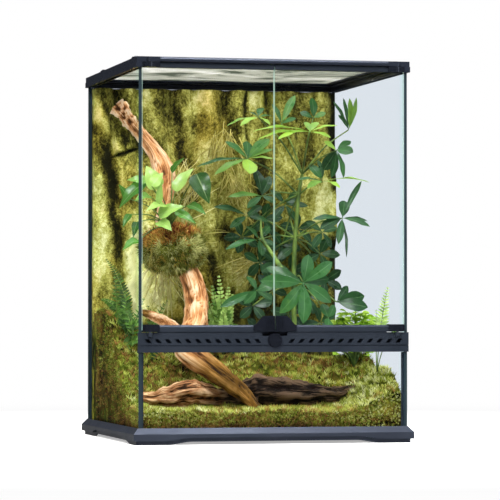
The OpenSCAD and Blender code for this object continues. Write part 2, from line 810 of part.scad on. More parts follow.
// A closed slab between two grids of points of the same size, with nx + 1 points in a row
module slab(front, back, nx, ny) {
    n = nx + 1;
    m = len(front);
    cell = [for (j = [0:ny - 1]) for (i = [0:nx - 1]) j * n + i];
    rim = concat(
        [for (i = [0:nx - 1]) i], [for (j = [0:ny - 1]) j * n + nx],
        [for (i = [nx:-1:1]) ny * n + i], [for (j = [ny:-1:1]) j * n]);
    polyhedron(
        points = concat(front, back),
        faces = concat(
            [for (a = cell) each [[a, a + n, a + n + 1], [a, a + n + 1, a + 1]]],
            [for (a = cell) each [[a + m, a + m + n + 1, a + m + n], [a + m, a + m + 1, a + m + n + 1]]],
            [for (k = [0:len(rim) - 1])
                let (a = rim[k], b = rim[(k + 1) % len(rim)])
                each [[a, b, b + m], [a, b + m, a + m]]]),
        convexity = 6);
}

columns = [for (i = [0:cells_x]) -soil_x + 2 * soil_x * i / cells_x];

// Room for the silicone beads in the corners
module seal_room() {
    leg = seal_leg + 2;
    for (x = [-in_w, in_w]) for (y = [-in_d, in_d])
        translate([x, y, 0]) linear_extrude(glass_top)
            polygon([[sign(x), sign(y)], [-sign(x) * leg, sign(y)], [sign(x), -sign(y) * leg]]);
}

module background_panel() {
    z0 = floor_z + touch;
    z1 = glass_top - 10;
    rows = [for (j = [0:cells_z]) z0 + (z1 - z0) * j / cells_z];
    color([0.45, 0.42, 0.25])
    difference() {
        slab([for (z = rows) for (x = columns) [x, rock_y(x, z), z]],
             [for (z = rows) for (x = columns) [x, in_d - touch, z]], cells_x, cells_z);
        seal_room();
    }
}

// Height of the soil's surface over the floor plan
function soil_z(x, y) =
    let (u = x / plan_x, v = y / plan_y)
    soil_front + touch + soil_rise * ramp(v, -120, 120)
    + 86 * bell(u, -215, 56) * ramp(v, -150, 100)
    + 69 * bell(u, 212, 44) * bell(v, -135, 85)
    + 3 * sin(2.1 * u + 50) * cos(1.7 * v);

// A layer over the floor plan from the lift low to the lift high over the soil's surface.
// Without a low lift it reaches down to the floor.
module ground(high, low = undef) {
    plan = [for (j = [0:cells_y]) for (x = columns)
        [x, -soil_y + (rock_y(x, 0) - touch + soil_y) * j / cells_y]];
    difference() {
        slab([for (p = plan) [p[0], p[1], soil_z(p[0], p[1]) + high]],
             [for (p = plan) [p[0], p[1], is_undef(low) ? floor_z + touch : soil_z(p[0], p[1]) + low]],
             cells_x, cells_y);
        seal_room();
        planting_holes();
        branch(touch);
    }
}

module soil() color([0.25, 0.17, 0.1]) ground(0);

module moss_carpet() color([0.4, 0.5, 0.15]) ground(moss_t, touch);

// A point of the planting plan, with its height over the moss
function planted(p, lift = 0) =
    let (x = p[0] * plan_x, y = p[1] * plan_y) [x, y, soil_z(x, y) + moss_t + lift];

// A point of the planting plan, with its height over the floor of the room
function placed(p) = [p[0] * plan_x, p[1] * plan_y, soil_front + (p[2] - soil_front) * plan_z];

// Where the plants are rooted: [x, y, radius of the root collar]
umbrella_root = [104, 46, 5];
fern_root = [-196, 96, 3];
button_root = [-12, 92, 3];
corner_root = [198, -184, 3];
herb_root = [166, -62, 3];
root_depth = 22;

module planting_holes() {
    for (p = [umbrella_root, fern_root, button_root, corner_root, herb_root])
        translate(planted(p, -root_depth - touch)) cylinder(r = p[2] + touch, h = root_depth + 60, $fn = 12);
}

module root_collar(p, h) {
    translate(planted(p, -root_depth)) cylinder(r = p[2], h = root_depth + h, $fn = 10);
}

// ---------- wood ----------

// Route of the gnarled root that lies across the floor: [x, y, height of its top over the moss]
log_route = [
    [-197, -100, 16], [-172, -102, 24], [-146, -104, 36], [-116, -104, 46], [-90, -100, 36], [-62, -96, 28],
    [-36, -94, 34], [-10, -96, 48], [8, -98, 54], [44, -104, 48], [82, -106, 38], [112, -104, 30],
    [134, -100, 22]];

module root_log() {
    path = [for (p = log_route) planted(p, p[2] * 0.54 + touch + 1)];
    color([0.3, 0.2, 0.15]) loft(limb(path, [for (p = log_route) p[2] * 0.46], 10, 0.08));
}

// Route and radii of the big branch, from its foot to its tip
branch_route = [
    [-14, -166, 56], [-34, -144, 80], [-58, -124, 102], [-86, -92, 126], [-103, -50, 146], [-96, -26, 168],
    [-83, -10, 192], [-76, 12, 222], [-76, 28, 252], [-90, 40, 294], [-114, 50, 334], [-130, 58, 364],
    [-122, 68, 398], [-117, 76, 430], [-119, 86, 458], [-131, 103, 491], [-149, 122, 519], [-168, 141, 547],
    [-184, 156, 573]];
branch_radii = [10, 14, 17, 20, 22, 22, 21, 20, 20, 17, 13, 9, 10, 13, 17, 13, 11, 11, 12];
spur_route = [[-190, -60, 215], [-162, -50, 207], [-136, -40, 194], [-110, -36, 176]];
spur_radii = [5, 8, 9, 8];

module branch(extra = 0) {
    loft(limb([for (p = branch_route) placed(p)], [for (r = branch_radii) r + extra], 10, 0.1));
}

module driftwood() color([0.75, 0.45, 0.22]) {
    branch();
    loft(limb([for (p = spur_route) placed(p)], spur_radii, 8, 0.1));
}

clump_mid = [-110, 40, 322];
clump_r = [58, 40, 41];
pothos_root = [-120, 26, 356];
pothos_r = 3;
pothos_depth = 12;

module moss_clump() color([0.35, 0.42, 0.14])
    difference() {
        translate(placed(clump_mid)) scale(clump_r / clump_r[0]) sphere(clump_r[0], $fn = 12);
        branch(2 * touch);
        translate(placed(pothos_root) - [0, 0, pothos_depth + touch]) cylinder(r = pothos_r + touch, h = 40, $fn = 8);
    }

// ---------- plants ----------

// Whorls of the umbrella plant:
// [x, y, z, leaflet length, turn, pitch, point of the trunk it grows from, tilt towards the front]
whorls = [
    [75, -120, 264, 64, 12, 8, 1, 62], [6, -60, 246, 48, 0, -6, 1, 50], [110, -20, 518, 66, 20, 12, 4, 0],
    [150, -20, 524, 58, 45, 16, 4, 8], [12, 20, 478, 62, 14, 6, 3, 34], [42, 30, 413, 48, 40, 0, 2, 30],
    [41, 40, 379, 62, 5, -4, 2, 26], [140, -10, 435, 62, 30, 8, 3, 0], [160, -60, 380, 48, 0, 2, 2, 24],
    [166, 6, 498, 44, 20, 0, 4, 16], [160, -100, 240, 46, 50, -2, 1, 56], [158, 44, 552, 50, 8, 30, 4, 0],
    [60, 60, 532, 46, 25, 4, 4, 12], [84, 76, 390, 52, 30, 0, 2, 40], [2, 50, 352, 46, 15, 0, 1, 38]];
trunk = [[102, 44, 262], [104, 42, 342], [110, 40, 416], [116, 40, 452]];

// Direction at yaw and pitch
function toward(yaw, pitch) = [cos(yaw) * cos(pitch), sin(yaw) * cos(pitch), sin(pitch)];

// Rings of a leaf with a short stalk, drooping along its length
function leaf(base, yaw, pitch, length, width, droop, thick = 0.5) = [
    for (s = [[0, 0.5], [0.16, 0.7], [0.58, width / 2], [1, 0.5]])
        let (along = toward(yaw, pitch - droop * s[0] / 2),
             across = toward(yaw + 90, 0),
             up = cross(along, across),
             c = base + length * s[0] * along)
        [c + s[1] * across + 0.12 * s[1] * up, c + (thick - 0.1 * s[1]) * up,
         c - s[1] * across + 0.12 * s[1] * up, c - (thick + 0.1 * s[1]) * up]];

// A whorl of pointed leaflets round a hub, as one thin star that is folded along each midrib
module whorl(hub, turn, pitch, length, thick = 0.9) {
    step = 360 / leaflets;
    edge = [for (k = [0:leaflets - 1])
        let (yaw = turn + step * k, l = length * (0.88 + 0.12 * cos(150 * k)))
        each [
            hub + 4 * toward(yaw - step / 2, pitch),
            hub + 0.58 * l * toward(yaw - 17, pitch - 10) + [0, 0, 0.03 * l],
            hub + l * toward(yaw, pitch - 22),
            hub + 0.58 * l * toward(yaw + 17, pitch - 10) + [0, 0, 0.03 * l]]];
    n = len(edge);
    top = concat([hub + [0, 0, 0.6]], edge);
    polyhedron(
        points = concat(top, [for (p = top) p - [0, 0, thick]]),
        faces = concat(
            [for (k = [0:n - 1]) [0, 1 + (k + 1) % n, 1 + k]],
            [for (k = [0:n - 1]) [n + 1, n + 2 + k, n + 2 + (k + 1) % n]],
            [for (k = [0:n - 1]) each [
                [1 + k, 1 + (k + 1) % n, n + 2 + (k + 1) % n], [1 + k, n + 2 + (k + 1) % n, n + 2 + k]]]),
        convexity = 6);
}

module stem(a, b, ra, rb) {
    hull() {
        translate(a) sphere(ra, $fn = 6);
        translate(b) sphere(rb, $fn = 6);
    }
}

module umbrella_plant() color([0.15, 0.42, 0.18]) {
    r = umbrella_root[2];
    route = concat([planted(umbrella_root, -2)], [for (p = trunk) placed(p)]);
    root_collar(umbrella_root, 0);
    for (i = [0:len(route) - 2]) stem(route[i], route[i + 1], r * (1 - 0.09 * i), r * (0.91 - 0.09 * i));
    for (w = whorls) {
        stem(route[w[6]], placed(w), 2, 1.6);
        translate(placed(w)) rotate([w[7], 0, 0]) whorl([0, 0, 0], w[4], w[5], w[3]);
    }
}

// Leaves of the climbing plant: [x, y, z, yaw, pitch, length]
pothos_leaves = [
    [-186, 40, 428, 200, 10, 28], [-176, 30, 440, 150, 30, 34], [-160, 14, 424, 260, -30, 44],
    [-140, 6, 440, 100, 40, 46], [-120, 0, 446, 20, 20, 50], [-100, 2, 452, 30, 25, 46],
    [-84, 4, 436, 340, 0, 50], [-106, -6, 410, 280, -20, 48], [-146, -4, 404, 240, -30, 46],
    [-128, -8, 384, 270, -40, 42], [-170, 6, 392, 215, -10, 32]];

module pothos() color([0.35, 0.6, 0.2]) {
    crown = placed(pothos_root);
    translate(crown - [0, 0, pothos_depth]) cylinder(r = pothos_r, h = pothos_depth + 6, $fn = 8);
    for (l = pothos_leaves) {
        stem(crown + [0, 0, 4], placed(l), 1.5, 1.1);
        loft(leaf(placed(l), l[3], l[4], l[5], l[5] * 0.6, 50));
    }
}

// A frond with saw-toothed edges that droops along its length
module frond(base, yaw, pitch, length, droop, teeth, width) {
    rings = [for (i = [0:2 * teeth])
        let (t = i / (2 * teeth), p = pitch - droop * t / 2,
             along = toward(yaw, p),
             across = toward(yaw + 90, 0),
             up = cross(along, across),
             w = i % 2 == 0 ? 0.9 : 0.9 + width / 2 * (1 - t) * min(1, 4 * t + 0.3),
             c = base + length * t * along,
             tip = c + 0.25 * w * along)
        [tip + w * across, c + 0.5 * up, tip - w * across, c - 0.5 * up]];
    loft(rings);
}

module sword_fern() color([0.25, 0.5, 0.15]) {
    base = planted(fern_root);
    root_collar(fern_root, 2);
    frond(base, 310, 86, 88, 70, 9, 30);
    frond(base, 296, 50, 84, 60, 9, 28);
    frond(base, 250, 66, 60, 40, 7, 24);
}

module button_fern() color([0.4, 0.62, 0.3]) {
    base = planted(button_root);
    root_collar(button_root, 2);
    frond(base, 262, 88, 128, 16, 10, 34);
    frond(base, 330, 66, 84, 40, 8, 26);
    frond(base, 200, 62, 80, 40, 8, 26);
}

module corner_fern() color([0.5, 0.7, 0.25]) {
    base = planted(corner_root);
    root_collar(corner_root, 2);
    frond(base, 110, 88, 150, 12, 11, 26);
    frond(base, 160, 60, 90, 50, 8, 24);
}

module ground_herb() color([0.45, 0.65, 0.15]) {
    base = planted(herb_root);
    root_collar(herb_root, 2);
    for (k = [0:9]) {
        tip = base + [24 * cos(137 * k), 24 * sin(137 * k), 62 + 4.5 * k];
        stem(base, tip, 1.2, 0.8);
        loft(leaf(tip, 137 * k, 5, 22, 17, 30));
    }
}

// ---------- build ----------

base_frame();
bottom_glass();
back_glass();
left_glass();
right_glass();
front_window();
corner_seals();
window_channel();
vent_strip();
lower_hinge_pins();
top_frame();
upper_hinge_pins();
left_door_glass();
left_bottom_rail();
left_top_rail();
left_handle();
left_lower_hinge();
left_upper_hinge();
left_catch();
right_door_glass();
right_bottom_rail();
right_top_rail();
right_handle();
right_lower_hinge();
right_upper_hinge();
right_catch();
lock_bezel();
lock_knob();
latch_cam();
lid_frame();
lid_screen();
left_front_clip();
left_rear_clip();
right_front_clip();
right_rear_clip();
clip_screws();
left_cable_shutter();
right_cable_shutter();
background_panel();
soil();
moss_carpet();
root_log();
driftwood();
moss_clump();
umbrella_plant();
pothos();
sword_fern();
button_fern();
corner_fern();
ground_herb();
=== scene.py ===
# %% [markdown]
# # A planted reptile terrarium
# A glass tank stands in a moulded base under a frame with a screen lid. Two hinged doors close over a
# vent strip with a knob lock, and the tank holds a rock background, moss, wood and living plants.
# The rigid parts come from the CAD frame and get their finishes here. The landscape is modelled anew,
# because living things need far more detail than a solid for simulation can carry.

# %% Load the frame
import math
import random
import bpy
import numpy as np
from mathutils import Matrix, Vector, noise


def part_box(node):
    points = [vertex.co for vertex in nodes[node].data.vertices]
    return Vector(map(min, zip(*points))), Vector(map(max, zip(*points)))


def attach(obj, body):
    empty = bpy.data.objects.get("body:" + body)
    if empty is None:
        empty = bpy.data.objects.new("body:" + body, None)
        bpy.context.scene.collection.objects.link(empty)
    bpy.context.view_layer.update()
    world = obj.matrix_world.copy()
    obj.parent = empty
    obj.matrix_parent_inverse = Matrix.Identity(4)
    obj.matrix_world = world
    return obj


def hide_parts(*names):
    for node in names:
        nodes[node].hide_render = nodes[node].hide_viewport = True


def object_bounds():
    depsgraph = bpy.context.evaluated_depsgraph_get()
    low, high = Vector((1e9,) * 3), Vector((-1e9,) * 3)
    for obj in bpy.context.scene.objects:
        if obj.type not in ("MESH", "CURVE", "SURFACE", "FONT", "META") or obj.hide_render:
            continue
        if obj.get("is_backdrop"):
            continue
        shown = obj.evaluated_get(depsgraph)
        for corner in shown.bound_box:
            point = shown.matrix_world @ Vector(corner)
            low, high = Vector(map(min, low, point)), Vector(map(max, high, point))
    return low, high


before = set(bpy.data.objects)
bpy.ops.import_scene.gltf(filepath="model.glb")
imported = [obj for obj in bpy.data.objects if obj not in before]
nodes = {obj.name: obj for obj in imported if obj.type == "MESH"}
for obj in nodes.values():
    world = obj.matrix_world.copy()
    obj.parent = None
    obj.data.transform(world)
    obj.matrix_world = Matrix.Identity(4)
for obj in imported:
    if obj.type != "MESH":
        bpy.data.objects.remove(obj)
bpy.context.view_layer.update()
bpy.ops.object.select_all(action="DESELECT")

# %% [markdown]
# ## Camera
# A long lens far away keeps the upright edges parallel, as in a catalogue picture. The tank is seen from
# the front and a little from the left, from the height of its lower third.

# %% Camera
camera_data = bpy.data.cameras.new("catalogue_view")
camera_data.sensor_width = 36.0
camera_data.lens = 209.57
camera_data.clip_end = 100.0
camera = bpy.data.objects.new("catalogue_view", camera_data)
camera.location = (-1.1485, -4.8175, 0.2149)
camera.rotation_euler = (math.radians(91.211), 0.0, math.radians(-13.563))
bpy.context.scene.collection.objects.link(camera)
bpy.context.scene.camera = camera
bpy.context.scene.view_settings.view_transform = "Standard"
print("camera stands", round(camera.location.length, 3), "m from the tank")

# %% [markdown]
# ## Helpers for materials
# Colours are picked as they look on a screen and turned into linear light, which is what the renderer
# counts with. A few small helpers keep each finish short enough to read.

# %% Colour and node helpers
BLACK, WHITE = (0, 0, 0, 1), (1, 1, 1, 1)
FLOAT, VECTOR = "NodeSocketFloat", "NodeSocketVector"


def tone(red, green, blue):
    """A screen colour from 0 to 255 as linear light."""
    def lin(c):
        c = c / 255.0
        return c / 12.92 if c <= 0.04045 else ((c + 0.055) / 1.055) ** 2.4
    return (lin(red), lin(green), lin(blue), 1.0)


def spaced(inputs):
    """Socket names with a space for each _."""
    return {name.replace("_", " "): value for name, value in inputs.items()}


class Tree:
    """A node tree with short ways to add nodes and join them."""

    def __init__(self, tree):
        self.tree = tree

    def add(self, kind, inputs=None, **settings):
        """A node; each of its inputs is a socket to join or a constant."""
        node = self.tree.nodes.new(kind)
        for key, value in settings.items():
            setattr(node, key, value)
        for name, value in (inputs or {}).items():
            if isinstance(value, bpy.types.NodeSocket):
                self.tree.links.new(value, node.inputs[name])
            else:
                node.inputs[name].default_value = value
        return node

    def math(self, operation, a, b=0.0, clamp=False):
        return self.add("ShaderNodeMath", {0: a, 1: b}, operation=operation, use_clamp=clamp).outputs[0]

    def plus(self, a, b, clamp=False):
        return self.math("ADD", a, b, clamp)

    def times(self, a, b, clamp=False):
        return self.math("MULTIPLY", a, b, clamp)

    def scaled(self, value, width, base):
        return self.plus(self.times(value, width), base)

    def centred(self, value, middle, width):
        """How far the value is from its middle, times width."""
        return self.times(self.math("SUBTRACT", value, middle), width)

    def distance(self, place, point):
        return self.add("ShaderNodeVectorMath", {0: place, 1: point}, operation="DISTANCE").outputs["Value"]

    def ramp(self, value, stops, smooth=True):
        node = self.add("ShaderNodeValToRGB", {"Fac": value})
        node.color_ramp.interpolation = "EASE" if smooth else "LINEAR"
        first, second = node.color_ramp.elements
        first.position, first.color = stops[0]
        second.position, second.color = stops[-1]
        for place, colour in stops[1:-1]:
            node.color_ramp.elements.new(place).color = colour
        return node.outputs["Color"]

    def paint(self, value, *stops, smooth=True):
        """A ramp of screen colours; each stop is its place, red, green and blue."""
        return self.ramp(value, [(place, tone(*colour)) for place, *colour in stops], smooth)

    def rise(self, value, start, end):
        return self.ramp(value, [(start, BLACK), (end, WHITE)])

    def fall(self, value, start, end):
        return self.ramp(value, [(start, WHITE), (end, BLACK)])

    def mix(self, factor, a, b, blend="MIX"):
        return self.add("ShaderNodeMix", {0: factor, 6: a, 7: b}, data_type="RGBA", blend_type=blend).outputs[2]

    def coordinates(self, kind="Object"):
        return self.add("ShaderNodeTexCoord").outputs[kind]

    def axis(self, vector, letter):
        return self.add("ShaderNodeSeparateXYZ", {"Vector": vector}).outputs[letter]

    def attribute(self, name):
        return self.add("ShaderNodeAttribute", attribute_name=name).outputs["Fac"]

    def noise(self, place, scale, detail, roughness=0.55, stretch=None, distortion=0.0):
        if stretch is not None:
            place = self.add("ShaderNodeMapping", {"Vector": place, "Scale": stretch}).outputs[0]
        return self.add("ShaderNodeTexNoise", {
            "Vector": place, "Scale": scale, "Detail": detail,
            "Roughness": roughness, "Distortion": distortion}).outputs["Fac"]

    def bump(self, height, strength, distance, under=None):
        inputs = {"Height": height, "Strength": strength, "Distance": distance}
        if under is not None:
            inputs["Normal"] = under
        return self.add("ShaderNodeBump", inputs).outputs[0]

    def principled(self, colour, roughness, **inputs):
        return self.add("ShaderNodeBsdfPrincipled", {
            "Base Color": colour, "Roughness": roughness, **spaced(inputs)})

    def use(self, group, **inputs):
        """The outputs of a node group placed here with its own values."""
        return self.add("ShaderNodeGroup", spaced(inputs), node_tree=group).outputs

    def blend(self, share, first, second):
        """Two shaders in one, with a share of the second."""
        return self.add("ShaderNodeMixShader", {"Fac": share, 1: first.outputs[0], 2: second.outputs[0]})

    def surface(self, shader, output="ShaderNodeOutputMaterial"):
        self.add(output, {"Surface": shader.outputs[0]})

    def thin_surface(self, shader, colour, share):
        """Lets a share of the light shine through a thin leaf, strand or wire."""
        glow = self.add("ShaderNodeBsdfTranslucent", {"Color": colour})
        self.surface(self.blend(share, shader, glow))


def emptied(owner):
    """The node tree of a new material or world, without its default nodes."""
    owner.use_nodes = True
    owner.node_tree.nodes.clear()
    return Tree(owner.node_tree)


def new_material(name):
    material = bpy.data.materials.new(name)
    return material, emptied(material)


def new_group(name, takes, gives):
    """A node group whose inputs and outputs are given as name and kind, with its tree and what it takes."""
    group = bpy.data.node_groups.new(name, "ShaderNodeTree")
    for way, sockets in (("INPUT", takes), ("OUTPUT", gives)):
        for socket, kind in sockets.items():
            group.interface.new_socket(socket, in_out=way, socket_type=kind)
    tree = Tree(group)
    return group, tree, tree.add("NodeGroupInput").outputs


def ray_masks(tree):
    """Masks for what the camera or glass sees straight on and for what a reflection shows."""
    rays = tree.add("ShaderNodeLightPath").outputs
    return tree.math("MAXIMUM", rays["Is Camera Ray"], rays["Is Transmission Ray"]), rays["Is Glossy Ray"]


def dress(material, *names):
    """Puts a material on CAD nodes that keep their shape."""
    for name in names:
        slots = nodes[name].data.materials
        slots.clear()
        slots.append(material)
    print(material.name, "on", len(names), "nodes")


def sides(*parts):
    """Names of parts that stand on the left and on the right."""
    return [side + "_" + part for part in parts for side in ("left", "right")]

# %% [markdown]
# ## Stage
# A pale floor takes the tank's soft shadow. The room around is white where the camera or glass looks at it,
# dark grey with a brighter ceiling in reflections, and only mildly bright where it lights the object, so
# colours stay as they are.

# %% World
world = bpy.data.worlds.new("studio")
bpy.context.scene.world = world
tree = emptied(world)
seen, mirrored = ray_masks(tree)
direction = tree.coordinates("Generated")
ahead = tree.ramp(tree.times(tree.axis(direction, "Y"), -1.0),
                  [(0.0, (0.05, 0.055, 0.07, 1)), (0.6, (0.17, 0.185, 0.21, 1))])
overhead = tree.mix(tree.rise(tree.axis(direction, "Z"), 0.1, 0.8), ahead, (0.5, 0.53, 0.62, 1))
lamp_light = tree.add("ShaderNodeBackground", {"Color": (1.0, 0.99, 0.96, 1), "Strength": 0.72})
reflection = tree.add("ShaderNodeBackground", {"Color": overhead, "Strength": 1.0})
white = tree.add("ShaderNodeBackground", {"Color": WHITE, "Strength": 1.0})
room = tree.blend(seen, tree.blend(mirrored, lamp_light, reflection), white)
tree.surface(room, "ShaderNodeOutputWorld")
print("world ready")

# %% Floor
FLOOR_RADIUS = 6.0
bpy.ops.mesh.primitive_circle_add(vertices=96, radius=FLOOR_RADIUS, fill_type="NGON", location=(0, 0, 0))
floor = bpy.context.object
floor.name = "studio_floor"
paper, tree = new_material("studio_paper")
far = tree.math("DIVIDE", tree.distance(tree.coordinates(), (0, 0, 0)), FLOOR_RADIUS / 2, clamp=True)
glow = tree.ramp(far, [(0.12, (0.42, 0.42, 0.42, 1)), (0.3, (0.95, 0.95, 0.95, 1)), (0.7, WHITE)])
matt = tree.ramp(far, [(0.12, (0.86, 0.86, 0.87, 1)), (0.5, BLACK)])
seen, mirrored = ray_masks(tree)
matt = tree.mix(tree.times(mirrored, 0.85), matt, BLACK)
seen = tree.math("MAXIMUM", seen, tree.times(mirrored, 0.12))
ground_light = tree.add("ShaderNodeBsdfDiffuse", {"Color": matt})
shine = tree.add("ShaderNodeEmission", {"Color": glow, "Strength": seen})
tree.surface(tree.add("ShaderNodeAddShader", {0: ground_light.outputs[0], 1: shine.outputs[0]}))
floor.data.materials.append(paper)
floor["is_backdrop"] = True
print("floor radius", FLOOR_RADIUS)

# %% [markdown]
# ## Lamps
# One large soft lamp high on the left of the camera models the plastic and the leaves, a weaker one fills
# from the right, and a lamp above shines down through the screen lid as a terrarium's own lamp does. Three
# small lamps over the tank make the highlights on the top frame, the front bar and the base.

# %% Lamps
# Each lamp: place, what it looks at, size, power, colour, whether it shows in reflections
lamps = {
    "key_lamp": ((-1.5, -2.6, 2.3), (0, 0, 0.3), (0.8, 0.8), 145, (1.0, 0.97, 0.9), True),
    "fill_lamp": ((2.6, -2.2, 1.3), (0, 0, 0.3), (1.4, 1.2), 22, (0.92, 0.96, 1.0), True),
    "top_lamp": ((0.12, -0.25, 2.1), (0.0, 0.0, 0.3), (0.7, 1.4), 44, (1.0, 0.98, 0.9), False),
    "sheen_lamp": ((0.3, 0.45, 2.1), (0.0, -0.2, 0.3), (0.9, 0.3), 10, (0.93, 0.94, 1.0), True),
    "strip_lamp": ((0.25, -1.5, 2.0), (0.0, -0.2, 0.4), (0.5, 0.24), 22, (0.95, 0.96, 1.0), True),
    "edge_lamp": ((0.34, -0.64, 2.1), (0.0, -0.23, 0.03), (0.5, 0.16), 15, (0.9, 0.92, 1.0), True)}
for name, (place, target, size, power, colour, mirrored) in lamps.items():
    data = bpy.data.lights.new(name, "AREA")
    data.shape = "RECTANGLE"
    data.size, data.size_y = size
    data.energy, data.color = power, colour
    lamp = bpy.data.objects.new(name, data)
    lamp.location = place
    lamp.rotation_euler = (Vector(target) - Vector(place)).to_track_quat("-Z", "Y").to_euler()
    lamp.visible_glossy = mirrored
    bpy.context.scene.collection.objects.link(lamp)
print(len(lamps), "lamps")

# %% [markdown]
# ## Glass
# The panes are flat and thin, so what lies behind them isn't shifted enough to see. A pane therefore lets
# light straight through with a slight tint and mirrors a little of the room at shallow angles, which also
# lets the lamps light the plants without noise. The cut edges of a pane are painted with a glow that stands
# for the light that travels inside the sheet and leaves there. The object-space normal tells the broad faces
# from the edges.

# %% Glass material
def pane_material(name, broad, edge_colour, edge_glow, gloss, tint=(0.942, 0.955, 0.976, 1)):
    """Glass whose broad faces look along one axis; side panes are greener near the front."""
    material, tree = new_material(name)
    is_edge = tree.math("LESS_THAN", tree.math("ABSOLUTE", tree.axis(tree.coordinates("Normal"), broad)), 0.5)
    front = tree.rise(tree.times(tree.axis(tree.coordinates(), "Y"), -4.0), 0.74, 0.9)
    colour = tree.mix(tree.times(front, 0.5 if broad == "X" else 0.0), tint, (0.72, 0.95, 0.93, 1))
    clear = tree.add("ShaderNodeBsdfTransparent", {"Color": colour})
    mirror = tree.add("ShaderNodeBsdfGlossy", {"Color": WHITE, "Roughness": 0.0})
    shallow = tree.add("ShaderNodeFresnel", {"IOR": 1.45}).outputs[0]
    face = tree.blend(tree.times(shallow, gloss), clear, mirror)
    # The cut edges carry a painted glow
    edge = tree.principled(edge_colour, 0.3, Emission_Color=edge_colour, Emission_Strength=edge_glow)
    tree.surface(tree.blend(is_edge, face, edge))
    return material


dress(pane_material("door_glass", "Y", tone(176, 206, 198), 0.16, 0.1), *sides("door_glass"))
dress(pane_material("side_glass", "X", tone(24, 38, 44), 0.05, 0.008, (0.9, 0.923, 0.936, 1)), *sides("glass"))
dress(pane_material("back_glass", "Y", tone(40, 54, 66), 0.06, 0.08), "back_glass", "front_window")
dress(pane_material("floor_glass", "Z", tone(90, 120, 120), 0.1, 0.12), "bottom_glass")

# %% [markdown]
# ## Moulded plastic, silicone and steel
# The base, the vent strip and the rails are dark plastic with a slate tint. Moulded plastic has a very
# fine leather-like grain and slow changes in gloss where the tool was polished, so the grain drives both
# the roughness and a shallow bump. One node group makes the grain for every plastic, and another the fine
# marks on silicone and steel. Moss, wood and leaves each have a group of their own further on.

# %% Grain of moulded plastic
moulded_grain, tree, given = new_group(
    "moulded_grain", {"Roughness": FLOAT}, {"Roughness": FLOAT, "Normal": VECTOR, "Cloud": FLOAT})
place = tree.coordinates()
fine = tree.noise(place, 900.0, 2.0)
cloud = tree.noise(place, 14.0, 3.0)
shift = tree.plus(tree.centred(cloud, 0.5, 0.22), tree.centred(fine, 0.5, 0.12))
tree.add("NodeGroupOutput", {
    "Roughness": tree.plus(given["Roughness"], shift), "Normal": tree.bump(fine, 0.25, 0.0002), "Cloud": cloud})


def plastic(name, dark, light, roughness, gloss=0.4):
    material, tree = new_material(name)
    grain = tree.use(moulded_grain, Roughness=roughness)
    tree.surface(tree.principled(
        tree.mix(grain["Cloud"], tone(*dark), tone(*light)), grain["Roughness"], Normal=grain["Normal"],
        Specular_IOR_Level=gloss, Specular_Tint=(0.72, 0.8, 1.0, 1)))
    return material


dress(plastic("slate_plastic", (25, 29, 37), (42, 46, 56), 0.34, 0.36), "base_frame")
dress(plastic("dark_slate_plastic", (20, 25, 32), (33, 38, 46), 0.36),
      "window_channel", "vent_strip", *sides("bottom_rail", "top_rail"))
dress(plastic("black_plastic", (15, 18, 25), (28, 32, 42), 0.3, 0.46), "top_frame", "lid_frame")
dress(plastic("fitting_plastic", (8, 10, 15), (16, 18, 25), 0.2, 0.6), "lock_bezel", "lock_knob",
      *sides("handle", "lower_hinge", "upper_hinge", "front_clip", "rear_clip", "cable_shutter"))

# %% Silicone and steel
fine_marks, tree, given = new_group(
    "fine_marks", {"Scale": FLOAT, "Grit": FLOAT, "Stretch": VECTOR, "Rough Width": FLOAT, "Rough Base": FLOAT,
                   "Strength": FLOAT, "Distance": FLOAT}, {"Marks": FLOAT, "Roughness": FLOAT, "Normal": VECTOR})
marks = tree.noise(tree.coordinates(), given["Scale"], 3.0, given["Grit"], given["Stretch"])
tree.add("NodeGroupOutput", {
    "Marks": marks, "Roughness": tree.scaled(marks, given["Rough Width"], given["Rough Base"]),
    "Normal": tree.bump(marks, given["Strength"], given["Distance"])})


def marked(name, scale, stretch, dark, light, roughness, bump=None, metallic=0.0):
    """A finish whose fine marks change its colour, its roughness (width, base) and its height."""
    material, tree = new_material(name)
    strength, distance = bump or (0.0, 0.001)
    marks = tree.use(fine_marks, Scale=scale, Grit=0.55, Stretch=stretch, Rough_Width=roughness[0],
                     Rough_Base=roughness[1], Strength=strength, Distance=distance)
    dents = {"Normal": marks["Normal"]} if bump else {}
    tree.surface(tree.principled(tree.mix(marks["Marks"], tone(*dark), tone(*light)), marks["Roughness"],
                                 Metallic=metallic, **dents))
    return material


dress(marked("black_silicone", 60.0, (1, 1, 0.25), (18, 22, 28), (38, 48, 58), (0.2, 0.25), (0.3, 0.001)),
      "corner_seals")
dress(marked("turned_steel", 700.0, (1, 1, 0.06), (150, 152, 156), (190, 192, 196), (0.25, 0.2),
             (0.15, 0.0002), 1.0), "lower_hinge_pins", "upper_hinge_pins", "clip_screws", "latch_cam")
dress(marked("blackened_steel", 500.0, (0.1, 1, 1), (20, 21, 24), (44, 46, 50), (0.2, 0.35), metallic=0.8),
      *sides("catch"))

# %% [markdown]
# ## Screen of the lid
# The lid holds a fine woven screen. One wire is a thin bar; it is repeated by an Array modifier in each
# direction, with the two directions a hair apart in height, as the weave lays them.

# %% Screen wires
PITCH, WIRE = 0.0034, 0.0006
net_low, net_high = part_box("lid_screen")


